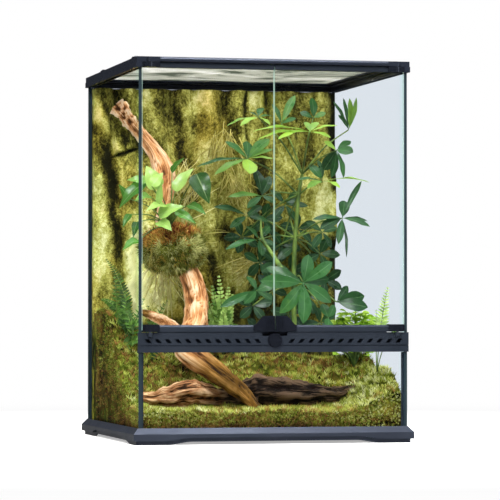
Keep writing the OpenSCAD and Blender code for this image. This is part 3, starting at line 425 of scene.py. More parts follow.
def screen_wires(name, along, height):
    """A row of wires that run along axis 0 or 1 over the whole screen."""
    across = 1 - along
    span = [net_high[i] - net_low[i] for i in range(2)]
    count = int(span[across] / PITCH) + 1
    size = [WIRE, WIRE, WIRE * 0.8]
    size[along] = span[along]
    middle = [(net_low[0] + net_high[0]) / 2, (net_low[1] + net_high[1]) / 2, height]
    middle[across] = net_low[across] + WIRE
    bpy.ops.mesh.primitive_cube_add(size=1, location=middle)
    wire = bpy.context.object
    wire.name = name
    wire.scale = size
    bpy.ops.object.transform_apply(location=True, scale=True)
    rows = wire.modifiers.new("rows", "ARRAY")
    rows.count = count
    rows.use_relative_offset = False
    rows.use_constant_offset = True
    rows.constant_offset_displace = (0, 0, 0)
    rows.constant_offset_displace[across] = (span[across] - 2 * WIRE) / (count - 1)
    bpy.ops.object.modifier_apply(modifier="rows")
    return wire


lid_net, weft = screen_wires("lid_net", 1, 0.62015), screen_wires("weft", 0, 0.62055)
bpy.ops.object.select_all(action="DESELECT")
weft.select_set(True)
lid_net.select_set(True)
bpy.context.view_layer.objects.active = lid_net
bpy.ops.object.join()
net_wire, tree = new_material("net_wire")
# Pale and dark streaks over the wires: painted sheen and shade of the woven screen
wire_sheen_and_shade = tree.noise(tree.coordinates(), 7.0, 6.0, 0.62, (0.7, 1.3, 1), 1.6)
wire_sheen_and_shade = tree.paint(wire_sheen_and_shade, (0.38, 108, 116, 100), (0.5, 198, 198, 186), (0.64, 232, 230, 226))
tree.thin_surface(tree.principled(wire_sheen_and_shade, 0.5, Metallic=0.2), wire_sheen_and_shade, 0.5)
lid_net.data.materials.append(net_wire)
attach(lid_net, "lid")
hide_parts("lid_screen")
print("net faces:", len(lid_net.data.polygons))

# %% [markdown]
# ## Lay of the land
# The soil rises to the back, with a high mound in the left rear corner and a lower one at the front
# right. The same formulas shape the CAD solids, so everything planted here meets them. Lengths are in
# millimetres in these formulas, as on a drawing, and become metres when a mesh is made.

# %% Ground and rock formulas
INNER, BED = 219.7, 21.3  # half the tank's inner width, and the top of the bottom glass
SOIL_LEFT, SOIL_WIDTH, SOIL_FRONT = -218, 436, -214


def climb(value, start, end):
    """0 up to start, 1 from end on, and a smooth step between."""
    t = min(1.0, max(0.0, (value - start) / (end - start)))
    return t * t * (3 - 2 * t)


def bell(value, middle, width):
    """1 at the middle, fading to nothing a few widths away."""
    return math.exp(-((value - middle) / width) ** 2)


def soil_top(x, y):
    return (46.3 + 78 * climb(y, -120, 120) + 86 * bell(x, -215, 56) * climb(y, -150, 100)
            + 69 * bell(x, 212, 44) * bell(y, -135, 85)
            + 3 * math.sin(math.radians(2.1 * x + 50)) * math.cos(math.radians(1.7 * y)))


def moss_top(x, y):
    return soil_top(x, y) + 7


def grown_top(x, y):
    """The moss as it has grown: a cushion fills the right side behind the root, and another the back."""
    return moss_top(x, y) + 56 * bell(x, 170, 80) * bell(y, -34, 46) + 16 * bell(y, 70, 60) * bell(x, 20, 150)


# Each ridge: x at the foot, x at the top, width, how far it stands out
ridges = [(-176, -204, 16, 1), (-158, -160, 15, 0.7), (-112, -108, 20, 0.9), (-66, -58, 16, 0.6),
          (-10, -14, 24, 0.8), (44, 40, 18, 1), (96, 84, 14, 0.6), (140, 130, 20, 0.9), (186, 194, 18, 0.7)]


def rock_share(x, z):
    """How far the rock stands out at x and z, from 0 in a groove to 1 on a ridge."""
    rise = climb(z, 214, 616)
    ridge = max(out * bell(x, foot + (top - foot) * rise, width) for foot, top, width, out in ridges)
    wave = 0 if rise == 0 else max(0.5 * bell(rise, level, 0.1) for level in (0.33, 0.62))
    return ridge + wave * (1 - ridge)


def rock_front(x, z):
    """The front of the panel, 15 mm thick between its ridges and 26 mm more on them."""
    return INNER - 15 - 26 * rock_share(x, z)


print("moss at the front middle:", round(moss_top(0, -215), 1), "mm")

# %% [markdown]
# ## Working with vertices
# Organic shapes start as a plain grid from the Add menu whose vertices are then pushed into place by a
# formula. The helpers below add such a grid, hand each vertex its two grid numbers from 0 to 1, and keep
# the grid's own UV map, so a material can follow the surface.

# %% Grid helper
MM = 1000  # millimetres in a metre


def shaped_grid(name, cells, place_of):
    """A grid whose vertex at (u, v) moves to place_of(u, v), in millimetres."""
    bpy.ops.mesh.primitive_grid_add(x_subdivisions=cells[0], y_subdivisions=cells[1], size=1)
    grid = bpy.context.object
    grid.name = name
    for vertex in grid.data.vertices:
        u, v = vertex.co.x + 0.5, vertex.co.y + 0.5
        vertex.co = Vector(place_of(u, v)) / MM
    return grid


def fractal(x, y, z, size, octaves=4):
    """Noise from about -1 to 1 whose lumps are about size millimetres across."""
    return noise.fractal(Vector((x / size, y / size, z / size)), 1.0, 2.0, octaves)


def number_vertices(mesh, name, values):
    """Gives each vertex a number that a material can read."""
    mesh.attributes.new(name, "FLOAT", "POINT").data.foreach_set("value", values)


def finish(piece, body, replaced, material, smooth_faces=True):
    """Material, ride, and the nodes it stands for, which are hidden."""
    piece.data.materials.clear()
    piece.data.materials.append(material)
    if smooth_faces:
        for polygon in piece.data.polygons:
            polygon.use_smooth = True
    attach(piece, body)
    if replaced:
        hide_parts(*replaced)
    print(piece.name, len(piece.data.polygons), "faces")


def close_block(grid, push):
    """Extrudes the rim of a sheet, moves the new rim with push, and closes the far side."""
    bpy.context.view_layer.objects.active = grid
    bpy.ops.object.mode_set(mode="EDIT")
    bpy.ops.mesh.select_mode(type="EDGE")
    bpy.ops.mesh.select_all(action="DESELECT")
    bpy.ops.mesh.select_non_manifold()
    bpy.ops.mesh.extrude_edges_move(TRANSFORM_OT_translate={"value": (0, 0, 0)})
    bpy.ops.object.mode_set(mode="OBJECT")
    for vertex in grid.data.vertices:
        if vertex.select:
            vertex.co = push(vertex.co)
    bpy.ops.object.mode_set(mode="EDIT")
    bpy.ops.mesh.edge_face_add()
    bpy.ops.mesh.select_all(action="SELECT")
    bpy.ops.mesh.normals_make_consistent(inside=False)
    bpy.ops.object.mode_set(mode="OBJECT")

# %% [markdown]
# ## Rock background
# The background panel is moulded foam with upright, leaning slabs like old bark or limestone. The grid
# follows the CAD relief. A list of clefts cuts grooves between the slabs, with painted shade in them, a list
# of faces marks where a slab stands out, with painted light on it, and noise at three sizes adds boulders and
# pores. Each point keeps a number for how bright it is, so painted shade darkens the grooves and painted light
# brightens the slabs.

# %% Slabs and clefts
# Each cleft: points (x, z) down the wall, width, how far it is cut in and how dark its painted shade is
clefts = [
    ([(-216, 536), (-201, 498), (-192, 471), (-188, 410), (-178, 340), (-168, 253), (-160, 200)], 12, 0.85),
    ([(-186, 470), (-176, 400), (-160, 330), (-140, 290)], 10, 0.4),
    ([(-205, 590), (-190, 550), (-168, 516)], 13, 0.45),
    ([(-176, 596), (-160, 556), (-139, 502)], 12, 0.5), ([(-191, 484), (-166, 493), (-144, 500)], 3.5, 0.9),
    ([(-82, 612), (-71, 552), (-62, 486)], 11, 0.55), ([(-103, 612), (-90, 569), (-85, 520)], 15, 0.3),
    ([(22, 612), (20, 560), (30, 518)], 10, 0.45), ([(54, 606), (52, 540), (60, 500)], 3.5, 0.6),
    ([(86, 606), (92, 540)], 7, 0.35), ([(140, 612), (151, 556), (169, 485)], 22, 0.3),
    ([(219, 612), (219, 440)], 12, 0.8), ([(214, 330), (212, 240), (205, 150)], 22, 0.5),
    ([(-49, 500), (-38, 447), (-49, 385)], 9, 0.25), ([(14, 352), (50, 326), (90, 300)], 15, 0.6),
    ([(-13, 310), (-2, 262), (0, 200)], 9, 0.5), ([(80, 480), (84, 380), (70, 300), (60, 200)], 22, 0.5),
    ([(120, 340), (150, 300), (170, 260)], 26, 0.5), ([(-132, 250), (-120, 180)], 10, 0.4),
    ([(-20, 196), (40, 214), (120, 214)], 30, 0.6)]
# Each face: x, z, half width, half height, how far it stands out and how bright its painted light is
faces = [
    (-122, 592, 12, 16, 0.5), (-118, 545, 10, 12, 0.25), (-24, 590, 17, 26, 0.5), (-20, 500, 16, 30, 0.3),
    (68, 590, 10, 24, 0.4), (-96, 430, 16, 36, 0.4), (-56, 380, 18, 26, 0.35), (-121, 240, 22, 34, 0.45),
    (-104, 290, 18, 26, 0.35), (198, 410, 22, 34, 0.5), (190, 372, 16, 22, 0.3), (-208, 400, 12, 80, 0.35),
    (-206, 300, 16, 60, 0.35), (-172, 440, 9, 26, 0.45), (-184, 505, 7, 26, 0.5), (-213, 570, 7, 30, 0.4),
    (2, 480, 26, 40, 0.1), (26, 425, 24, 26, 0.05), (40, 280, 22, 26, 0.35), (150, 505, 16, 24, 0.12),
    (-208, 560, 12, 46, 0.4), (-150, 300, 22, 60, 0.95), (-146, 240, 20, 40, 0.9), (-100, 250, 14, 40, 0.3)]


def from_line(x, z, points):
    """Distance of a point from a line through several points."""
    steps = []
    for (x1, z1), (x2, z2) in zip(points, points[1:]):
        t = ((x - x1) * (x2 - x1) + (z - z1) * (z2 - z1)) / ((x2 - x1) ** 2 + (z2 - z1) ** 2)
        t = min(1.0, max(0.0, t))
        steps.append(math.hypot(x - x1 - t * (x2 - x1), z - z1 - t * (z2 - z1)))
    return min(steps)


def rock_marks(x, z):
    """How far a point lies in a cleft, with its painted shade, and on a face, with its painted light."""
    sway = 7 * fractal(x, 5, z, 46)
    depth_and_shade = max(amount * bell(from_line(x + sway, z, points), 0, width) for points, width, amount in clefts)
    lit_share = sum(amount * bell(x + sway, fx, wide) * bell(z, fz, tall) for fx, fz, wide, tall, amount in faces)
    return depth_and_shade, lit_share

# %% Rock mesh
WALL_HEIGHT, WALL_BACK = 584.7, 214.0


def rock_point(u, v):
    x, z = -INNER + 2 * INNER * u, BED + WALL_HEIGHT * v
    show = climb(z, 60, 130)
    depth_and_shade, lit_share = rock_marks(x, z)
    bulge = 3.6 * fractal(x, 7, z * 0.35, 34) + 2.6 * fractal(x, 3, z * 0.6, 11)
    y = rock_front(x, z) - show * (bulge + 4 * lit_share - 10 * depth_and_shade)
    return (x, min(y, WALL_BACK), z)


rock = shaped_grid("rock_wall", (170, 210), rock_point)
relief_shading = []
# Brightness of each point: painted shade in the clefts, painted light on the faces
for vertex in rock.data.vertices:
    x, _, z = vertex.co * MM
    depth_and_shade, lit_share = rock_marks(x, z)
    relief_shading.append(0.5 + 0.9 * lit_share - 0.74 * depth_and_shade + 0.16 * fractal(x, 7, z * 0.5, 20))
number_vertices(rock.data, "relief_shading", relief_shading)
close_block(rock, lambda co: Vector((co.x, INNER / MM, co.z)))

# %% Rock material
rock_paint, tree = new_material("painted_rock")
place = tree.coordinates()
streak = tree.noise(place, 46.0, 8.0, 0.72, (1, 1, 0.5), 0.7)
patch = tree.noise(place, 9.0, 4.0, 0.6, (1, 1, 0.6))
pores = tree.noise(place, 190.0, 5.0, 0.8, distortion=0.8)
level = tree.plus(tree.attribute("relief_shading"), tree.centred(streak, 0.5, 1.5))
level = tree.plus(level, tree.centred(pores, 0.52, 1.7))
stone = tree.paint(level, (0.0, 26, 26, 8), (0.2, 76, 72, 24), (0.44, 142, 138, 58), (0.66, 196, 192, 98),
                   (1.0, 250, 246, 180), smooth=False)
gold, olive = tree.rise(patch, 0.5, 0.66), tree.fall(patch, 0.32, 0.46)
stone = tree.mix(tree.times(gold, 0.5), stone, tone(232, 190, 90), "MULTIPLY")
stone = tree.mix(tree.times(olive, 0.6), stone, tone(150, 160, 90), "MULTIPLY")
low, rear = tree.fall(tree.axis(place, "Z"), 0.17, 0.22), tree.rise(tree.axis(place, "Y"), 0.216, 0.2175)
# The foot of the wall is painted dark, as painted shade under the plants
stone = tree.mix(low, stone, tree.paint(streak, (0.4, 20, 22, 6), (0.6, 120, 116, 40)))
stone = tree.mix(rear, stone, tree.paint(pores, (0.4, 46, 46, 42), (0.6, 82, 82, 76)))
dents = tree.bump(pores, 0.5, 0.002, tree.bump(streak, 0.7, 0.006))
tree.surface(tree.principled(stone, tree.scaled(streak, 0.25, 0.68), Normal=dents, Specular_IOR_Level=0.08))
finish(rock, "tank", ["background_panel"], rock_paint)

# %% [markdown]
# ## Soil block
# The soil is a block inside the glass. Its top follows the ground formula, its sides stand a few
# millimetres back from the panes so that moss can grow against the glass, and its rim is closed to the floor.

# %% Soil mesh
def soil_depth(x):
    """How far the soil reaches back from its front edge to the rock."""
    return rock_front(x, 100) - 1 - SOIL_FRONT


def soil_point(u, v):
    x = SOIL_LEFT + SOIL_WIDTH * u
    y = SOIL_FRONT + soil_depth(x) * v
    lumps = 4.5 * fractal(x, y, 5, 26) + 2.0 * fractal(x, y, 9, 8)
    return (x, y, grown_top(x, y) - 3 + lumps)


soil_block = shaped_grid("soil_block", (150, 140), soil_point)
close_block(soil_block, lambda co: Vector((co.x, co.y, BED / MM)))

# %% Soil material
earth, tree = new_material("mossy_earth")
place = tree.coordinates()
clumps = tree.noise(place, 34.0, 5.0, 0.65)
crumbs = tree.noise(place, 210.0, 4.0, 0.7)
wide = tree.noise(place, 9.0, 3.0, 0.5)
dirt = tree.paint(clumps, (0.35, 20, 13, 4), (0.5, 92, 68, 26), (0.66, 172, 130, 60))
green = tree.paint(clumps, (0.35, 16, 24, 4), (0.5, 78, 94, 20), (0.66, 158, 168, 54))
share = tree.ramp(wide, [(0.36, (0.15, 0.15, 0.15, 1)), (0.6, (0.9, 0.9, 0.9, 1))])
colour = tree.mix(share, dirt, green)
colour = tree.mix(tree.times(crumbs, 0.6), colour, tone(60, 56, 30), "MULTIPLY")
# A bare sandy spot near the front, wider than deep
flat = tree.add("ShaderNodeVectorMath", {0: place, 1: (1.0, 2.6, 0.0)}, operation="MULTIPLY").outputs[0]
from_bare = tree.plus(tree.distance(flat, (-0.152, -0.473, 0.0)), tree.centred(clumps, 0.5, 0.06))
sandy = tree.paint(crumbs, (0.3, 176, 150, 84), (0.6, 240, 226, 166))
colour = tree.mix(tree.fall(from_bare, 0.034, 0.048), colour, sandy)
dents = tree.bump(crumbs, 0.7, 0.003, tree.bump(clumps, 0.8, 0.008))
tree.surface(tree.principled(colour, tree.scaled(crumbs, 0.2, 0.7), Normal=dents, Specular_IOR_Level=0.05))
finish(soil_block, "tank", ["soil"], earth)

# %% [markdown]
# ## Scattering
# Moss strands, leaflets and fern pinnae repeat by the hundred. Each is modelled once; this helper copies
# its mesh to many places as one object, with one number per copy that its material turns into a shade.

# %% Scatter helper
def turn(yaw, pitch=0.0, roll=0.0):
    """Rotation that lays +X along yaw and pitch, rolled about its own axis; angles in degrees."""
    (a, d), (b, e), (c, f) = [(math.cos(t), math.sin(t)) for t in map(math.radians, (yaw, pitch, roll))]
    z = np.array([[a, -d, 0], [d, a, 0], [0, 0, 1]])
    y = np.array([[b, 0, -e], [0, 1, 0], [e, 0, b]])
    x = np.array([[1, 0, 0], [0, c, -f], [0, f, c]])
    return z @ y @ x


def aim(base, tip, up):
    """Rotation that lays +X from base to tip with +Z as near up as it can be, and the length in mm."""
    x = np.array(tip, float) - np.array(base, float)
    length = np.linalg.norm(x)
    x /= length
    z = np.array(up, float) - x * x.dot(np.array(up, float))
    z /= np.linalg.norm(z)
    return np.column_stack([x, np.cross(z, x), z]), length


def scatter(name, template, copies):
    """One mesh with a copy of template for each (rotation, scale or three scales, place in mm, shade)."""
    def read(items, field, width=1, kind=np.int64):
        values = np.empty(len(items) * width, kind)
        items.foreach_get(field, values)
        return values

    def repeat(values, step):
        return np.add.outer(step * np.arange(len(copies)), values).ravel()

    mesh = template.data
    count, loops, faces = len(mesh.vertices), len(mesh.loops), len(mesh.polygons)
    points = read(mesh.vertices, "co", 3, float).reshape(-1, 3)
    where = np.concatenate([(points * np.array(s)) @ r.T + np.array(p) / MM for r, s, p, _ in copies])
    made = bpy.data.meshes.new(name)
    made.vertices.add(len(copies) * count)
    made.vertices.foreach_set("co", where.ravel())
    made.loops.add(len(copies) * loops)
    made.loops.foreach_set("vertex_index", repeat(read(mesh.loops, "vertex_index"), count))
    made.polygons.add(len(copies) * faces)
    made.polygons.foreach_set("loop_start", repeat(read(mesh.polygons, "loop_start"), loops))
    made.polygons.foreach_set("loop_total", repeat(read(mesh.polygons, "loop_total"), 0))
    made.update(calc_edges=True)
    uv = read(mesh.uv_layers[0].data, "uv", 2, float)
    made.uv_layers.new(name="UVMap").data.foreach_set("uv", np.tile(uv, len(copies)))
    number_vertices(made, "shade", np.repeat([shade for *_, shade in copies], count))
    piece = bpy.data.objects.new(name, made)
    bpy.context.scene.collection.objects.link(piece)
    bpy.data.objects.remove(template)
    return piece


def merge(name, parts):
    """Joins objects into one, named name."""
    bpy.ops.object.select_all(action="DESELECT")
    for part in parts:
        part.select_set(True)
    bpy.context.view_layer.objects.active = parts[0]
    bpy.ops.object.join()
    parts[0].name = name
    bpy.ops.object.select_all(action="DESELECT")
    return parts[0]

# %% [markdown]
# ## Moss
# A moss plant is a small tuft of pointed strands. A tuft is six thin cones that lean out from one foot.
# Thousands of tufts stand on the soil and lean against the glass; their shade varies in patches, is
# brighter on the mounds, for fresher moss and for painted light, and turns browner and darker low on the glass.

# %% One tuft
STRANDS, STRAND_LENGTH, STRAND_WIDTH = 6, 0.0085, 0.0009


def moss_tuft():
    blades = []
    for k in range(STRANDS):
        bpy.ops.mesh.primitive_cone_add(vertices=3, radius1=STRAND_WIDTH, radius2=0, depth=STRAND_LENGTH)
        blade = bpy.context.object
        way = Vector((math.cos(k * 2.4), math.sin(k * 2.4), 1.3 + 0.5 * (k % 3))).normalized()
        blade.rotation_euler = way.to_track_quat("Z", "Y").to_euler()
        blade.location = way * STRAND_LENGTH * 0.4
        bpy.ops.object.transform_apply(location=True, rotation=True)
        blades.append(blade)
    return merge("moss_tuft", blades)


def moss_shade(x, y, jitter, z=2):
    # Brighter on the mounds and by the bare spot at the front: fresher moss with painted light on it
    mounds_fresh_and_lit = 0.3 * bell(x, 200, 80) * bell(y, -150, 110) + 0.16 * bell(x, -190, 80) * bell(y, -150, 60)
    mounds_fresh_and_lit += 0.3 * bell(x, -120, 80) * bell(y, -196, 26)
    patch = 0.5 + 0.5 * fractal(x, y, z, 30, 3)
    return min(1.0, max(0.0, 0.16 + 0.5 * patch + mounds_fresh_and_lit + jitter))

# %% Moss on the ground
GROUND_TUFTS, GLASS_TUFTS, MOSS_FOOT = 7200, 7400, 24
pick = random.Random(7)
tufts = []
while len(tufts) < GROUND_TUFTS:
    x, y = pick.uniform(-215, 216), pick.uniform(-214, 175)
    if y > rock_front(x, 100) - 4 or (y > 20 and pick.random() < 0.6):
        continue
    if bell(x, -152, 40) * bell(y, -182, 15) > 0.35 and pick.random() < 0.85:
        continue
    z = soil_point((x - SOIL_LEFT) / SOIL_WIDTH, (y - SOIL_FRONT) / soil_depth(x))[2]
    lean = turn(pick.uniform(0, 360)) @ turn(0, pick.uniform(-35, 35))
    tufts.append((lean, pick.uniform(0.7, 1.7), (x, y, z - 1.5), moss_shade(x, y, pick.uniform(-0.4, 0.4))))
moss_cover = scatter("moss_cover", moss_tuft(), tufts)

# %% Moss against the glass
walls = []
while len(walls) < GLASS_TUFTS:
    side = pick.random()
    if side < 0.42:
        x, y, away = pick.uniform(-216, 217), -215.0, 270
    elif side < 0.84:
        x, y, away = -217.0, pick.uniform(-213, 178), 180
    else:
        x, y, away = 217.0, pick.uniform(-213, 178), 0
    height = grown_top(x, y) - MOSS_FOOT
    share = pick.random() ** 0.9
    z = MOSS_FOOT + height * share
    lean = turn(away + pick.uniform(-60, 60), pick.uniform(-40, 60)) @ turn(0, -90)
    brown = 0.45 * bell(share, 0, 0.4) + 0.5 * max(0.0, fractal(x, y, z, 30, 3))
    brown *= 1 - 0.8 * climb(x, 60, 170) + 0.3 * climb(-x, 200, 216) * climb(y, -200, -100)
    walls.append((lean, pick.uniform(0.4, 0.66), (x, y, z),
                  moss_shade(x, y, pick.uniform(-0.4, 0.4), share * 80) - brown))
glass_moss = scatter("glass_moss", moss_tuft(), walls)

# %% Moss material
strand_shade, tree, given = new_group(
    "strand_shade", {"Dark Foot": FLOAT}, {"Value": FLOAT, "Foot": FLOAT, "Roughness": FLOAT})
flecks = tree.noise(tree.coordinates(), 120.0, 3.0, 0.6)
# The foot of each strand gets painted shade, deep among the other strands
from_tip = tree.distance(tree.coordinates("UV"), (0.25, 0.25, 0))
tree.add("NodeGroupOutput", {
    "Value": tree.plus(tree.attribute("shade"), tree.centred(flecks, 0.5, 0.5), clamp=True),
    "Foot": tree.times(from_tip, given["Dark Foot"], clamp=True), "Roughness": tree.scaled(flecks, 0.2, 0.55)})


def moss_material(name, *stops, dark_foot=3.6):
    """Strands coloured by their shade, with painted shade darkening them towards the foot, where the UV map is far
    from the tip.
    """
    material, tree = new_material(name)
    strand = tree.use(strand_shade, Dark_Foot=dark_foot)
    colour = tree.mix(strand["Foot"], tree.paint(strand["Value"], *stops, smooth=False), tone(66, 62, 42), "MULTIPLY")
    tree.thin_surface(tree.principled(colour, strand["Roughness"], Specular_IOR_Level=0.1), colour, 0.3)
    return material


moss_green = moss_material(
    "moss_green", (0.0, 104, 72, 34), (0.14, 206, 152, 84), (0.26, 150, 134, 50), (0.38, 104, 118, 36),
    (0.6, 184, 196, 72), (0.8, 234, 236, 120), (1.0, 255, 255, 190))
finish(moss_cover, "tank", ["moss_carpet"], moss_green, False)
finish(glass_moss, "tank", [], moss_green, False)

# %% [markdown]
# ## Limbs
# A branch is a sheet rolled into a tube along a route. The grid's own UV map then runs round the limb in U
# and along it in V, so wood grain can follow every bend. The route is smoothed, the radius swells and
# shrinks from knot to knot, and a gnarl formula adds twisted flutes.

# %% Rolled limb
def smooth_route(points, steps):
    """Catmull-Rom points along a route of tuples of any length."""
    p = np.array(points, float)
    p = np.vstack([2 * p[0] - p[1], p, 2 * p[-1] - p[-2]])
    out = []
    for t in np.arange(steps + 1) / steps * (len(points) - 1):
        k = min(int(t), len(points) - 2)
        f = t - k
        a, b, c, d = p[k:k + 4]
        out.append(0.5 * (2 * b + (c - a) * f + (2 * a - 5 * b + 4 * c - d) * f ** 2
                          + (3 * b - a - 3 * c + d) * f ** 3))
    return np.array(out)


def rolled_limb(name, route, radii, around, along, gnarl=None, start=(0.2, 1, 0.1)):
    """A closed tube; gnarl(angle, share) multiplies the radius."""
    line = smooth_route([tuple(p) + (r,) for p, r in zip(route, radii)], along)
    centre, radius = line[:, :3], np.maximum(line[:, 3], 0.2)
    heading = np.gradient(centre, axis=0)
    heading /= np.linalg.norm(heading, axis=1)[:, None]
    side = np.cross(np.array(start, float), heading[0])
    sideways = []
    for h in heading:
        side = side - h * np.dot(side, h)
        side /= np.linalg.norm(side)
        sideways.append(side)

    def point(u, v):
        i = int(round(v * along))
        a = 2 * math.pi * u
        r = radius[i] * (gnarl(a, v) if gnarl else 1.0)
        return tuple(centre[i] + r * (math.cos(a) * sideways[i] + math.sin(a) * np.cross(heading[i], sideways[i])))

    limb = shaped_grid(name, (around, along), point)
    if gnarl:
        number_vertices(limb.data, "relief_shading", [
            gnarl(2 * math.pi * i / around, j / along) for j in range(along + 1) for i in range(around + 1)])
    bpy.context.view_layer.objects.active = limb
    bpy.ops.object.mode_set(mode="EDIT")
    bpy.ops.mesh.select_all(action="SELECT")
    bpy.ops.mesh.remove_doubles(threshold=1e-6)
    bpy.ops.mesh.fill_holes(sides=0)
    bpy.ops.mesh.normals_make_consistent(inside=False)
    bpy.ops.object.mode_set(mode="OBJECT")
    return limb

# %% [markdown]
# ## Driftwood
# The big branch is sandblasted orange wood with deep cracks along its grain, two knot holes and a gnarled
# tip, and a short spur near its foot.
# Flutes that twist slowly round the limb give the gnarled outline; the material adds the fine grain.

# %% Driftwood mesh
branch_route = [
    (-14, -166, 56), (-34, -144, 80), (-58, -124, 102), (-86, -92, 126), (-103, -50, 146), (-96, -26, 168),
    (-83, -10, 192), (-76, 12, 222), (-76, 28, 252), (-90, 40, 294), (-114, 50, 334), (-130, 58, 364),
    (-122, 68, 398), (-117, 76, 430), (-119, 86, 458), (-131, 103, 491), (-149, 122, 519), (-168, 141, 547),
    (-184, 156, 573)]
branch_radii = [7, 12, 16, 20, 22, 22, 21, 20, 19, 16, 12, 9, 11, 16, 18, 13, 11, 11, 14]


def branch_gnarl(a, v):
    twist = a + 5 * v
    flutes = 0.08 * math.sin(3 * a + 9 * v) + 0.05 * math.sin(5 * a - 14 * v)
    knots = 0.13 * fractal(60 * math.cos(a), 60 * math.sin(a), 1400 * v, 45, 4)
    knots += 0.5 * climb(v, 0.86, 0.95) * fractal(30 * math.cos(a), 30 * math.sin(a), 1400 * v, 16, 3)
    cracks = -0.2 * max(0.0, 1 - abs(math.sin(2 * twist + 1.3 * math.sin(17 * v))) / 0.14)
    cracks -= 0.12 * max(0.0, 1 - abs(math.sin(3.5 * twist + 2 * math.sin(11 * v))) / 0.12)
    hole = -0.34 * bell(a, 4.9, 0.24) * bell(v, 0.395, 0.012) - 0.3 * bell(a, 4.3, 0.3) * bell(v, 0.455, 0.016)
    return 1.0 + flutes + knots + cracks + hole


driftwood = rolled_limb("driftwood_branch", branch_route, branch_radii, 40, 220, branch_gnarl)
spur = rolled_limb(
    "spur", [(-190, -60, 215), (-162, -50, 207), (-136, -40, 194), (-110, -36, 176)], [4, 8, 9, 8],
    20, 50, lambda a, v: 1 + 0.12 * math.sin(3 * a + 5 * v) + 0.1 * fractal(50 * math.cos(a), 9, 400 * v, 30, 3))
driftwood = merge("driftwood_branch", [driftwood, spur])

# %% Wood material
limb_grain, tree, given = new_group(
    "limb_grain", {"Rows": FLOAT, "Hollows": FLOAT}, {"Value": FLOAT, "Roughness": FLOAT, "Normal": VECTOR})
uv = tree.coordinates("UV")
grain = tree.noise(uv, 14.0, 6.0, 0.65, (3.0, 0.9, 1), 0.4)
fine = tree.noise(uv, 60.0, 4.0, 0.6, (3.5, 0.5, 1))
# Cracks and knot holes, where the limb is thinner, get painted shade
cracks = tree.plus(tree.centred(tree.attribute("relief_shading"), 1.0, given["Hollows"]), 0.4)
tree.add("NodeGroupOutput", {
    "Value": tree.plus(tree.plus(tree.centred(grain, 0.5, given["Rows"]), tree.times(fine, 0.35)), cracks),
    "Roughness": tree.scaled(grain, 0.3, 0.5),
    "Normal": tree.bump(fine, 0.5, 0.001, tree.bump(grain, 0.9, 0.004))})


def wood_material(name, dark, middle, light, foot, foot_light, foot_end, rows, hollow_shade):
    """Grain that runs along the limb, with painted shade in its cracks, and another colour near its foot."""
    material, tree = new_material(name)
    grain = tree.use(limb_grain, Rows=rows, Hollows=hollow_shade)
    value = grain["Value"]
    colour = tree.paint(value, (0.2, 34, 14, 4), (0.4, *dark), (0.56, *middle), (0.76, *light), smooth=False)
    blotch = tree.noise(tree.coordinates(), 30.0, 3.0, 0.5)
    colour = tree.mix(tree.times(blotch, 0.2), colour, tone(*middle))
    low = tree.fall(tree.axis(tree.coordinates("UV"), "Y"), foot_end - 0.08, foot_end + 0.04)
    colour = tree.mix(low, colour, tree.paint(value, (0.3, 40, 22, 4), (0.55, *foot), (0.9, *foot_light)))
    tree.surface(tree.principled(colour, grain["Roughness"], Normal=grain["Normal"], Specular_IOR_Level=0.12))
    return material


orange_wood = wood_material("sandblasted_wood", (150, 84, 40), (230, 164, 104), (255, 222, 182), (120, 82, 26),
                            (184, 136, 68), 0.21, 1.2, 1.3)
finish(driftwood, "tank", ["driftwood"], orange_wood)

# %% [markdown]
# ## Root across the floor
# A dark, ropy root lies half sunk in the moss. It is flatter than the branch, with strong cords along it.

# %% Root mesh
# Each point: x, y, how far the root stands over the moss
log_route = [
    (-197, -100, 16), (-172, -102, 24), (-146, -104, 36), (-116, -104, 46), (-90, -100, 36), (-62, -96, 28),
    (-36, -94, 34), (-10, -96, 48), (8, -98, 54), (44, -104, 48), (82, -106, 38), (112, -104, 32),
    (140, -98, 26), (168, -88, 16), (184, -80, 8)]
root = rolled_limb(
    "root_log", [(x, y, moss_top(x, y) + 0.54 * h + 1.3) for x, y, h in log_route],
    [0.46 * h for _, _, h in log_route], 40, 200,
    lambda a, v: 1 + 0.12 * math.sin(4 * a + 11 * v) + 0.09 * math.sin(7 * a - 20 * v)
    + 0.24 * fractal(50 * math.cos(a), 50 * math.sin(a), 900 * v, 40, 5))
dark_wood = wood_material("dark_root", (16, 11, 7), (46, 35, 24), (120, 94, 70), (176, 118, 72),
                          (244, 200, 150), 0.36, 2.0, 1.0)
finish(root, "tank", ["root_log"], dark_wood)

# %% [markdown]
# ## Moss clump
# A ball of moss and roots is wedged on the branch and carries the climbing plant. Its body is a lumpy
# sphere, green below and rusty brown in the cap at its upper left, covered with tufts like the ground.

# %% Clump
clump_middle, clump_size = (-110, 40, 322), (50, 34, 35)
bpy.ops.mesh.primitive_ico_sphere_add(subdivisions=5, radius=1)
clump = bpy.context.object
clump.name = "clump_body"
clump_tufts = []
for vertex in clump.data.vertices:
    d = vertex.co.normalized()
    ball = [40 * c for c in d]
    lump = 1 + 0.2 * fractal(*ball, 22) + 0.08 * fractal(*ball, 7)
    spot = [clump_middle[i] + clump_size[i] * d[i] * lump for i in range(3)]
    vertex.co = Vector(spot) / MM
    if pick.random() < 0.5:
        pitch = math.degrees(math.asin(max(-1, min(1, d.z))))
        lean = turn(math.degrees(math.atan2(d.y, d.x)), pitch) @ turn(0, -90)
        above = d.z - 0.4 - 0.35 * d.x  # over 0 in the dry cap
        patch = 0.5 * fractal(*ball, 14, 3)
        if above > 0:
            shade = max(0.0, 0.25 - 0.3 * above + 0.3 * patch + pick.uniform(-0.1, 0.1))
        else:
            # Tufts on the underside are painted darker as shade
            shade = max(0.31, 0.62 + 0.2 * min(0.0, d.z) + patch + pick.uniform(-0.25, 0.4))
        clump_tufts.append((lean, pick.uniform(0.8, 2.2), spot, shade))
clump_fur = scatter("clump_fur", moss_tuft(), clump_tufts)

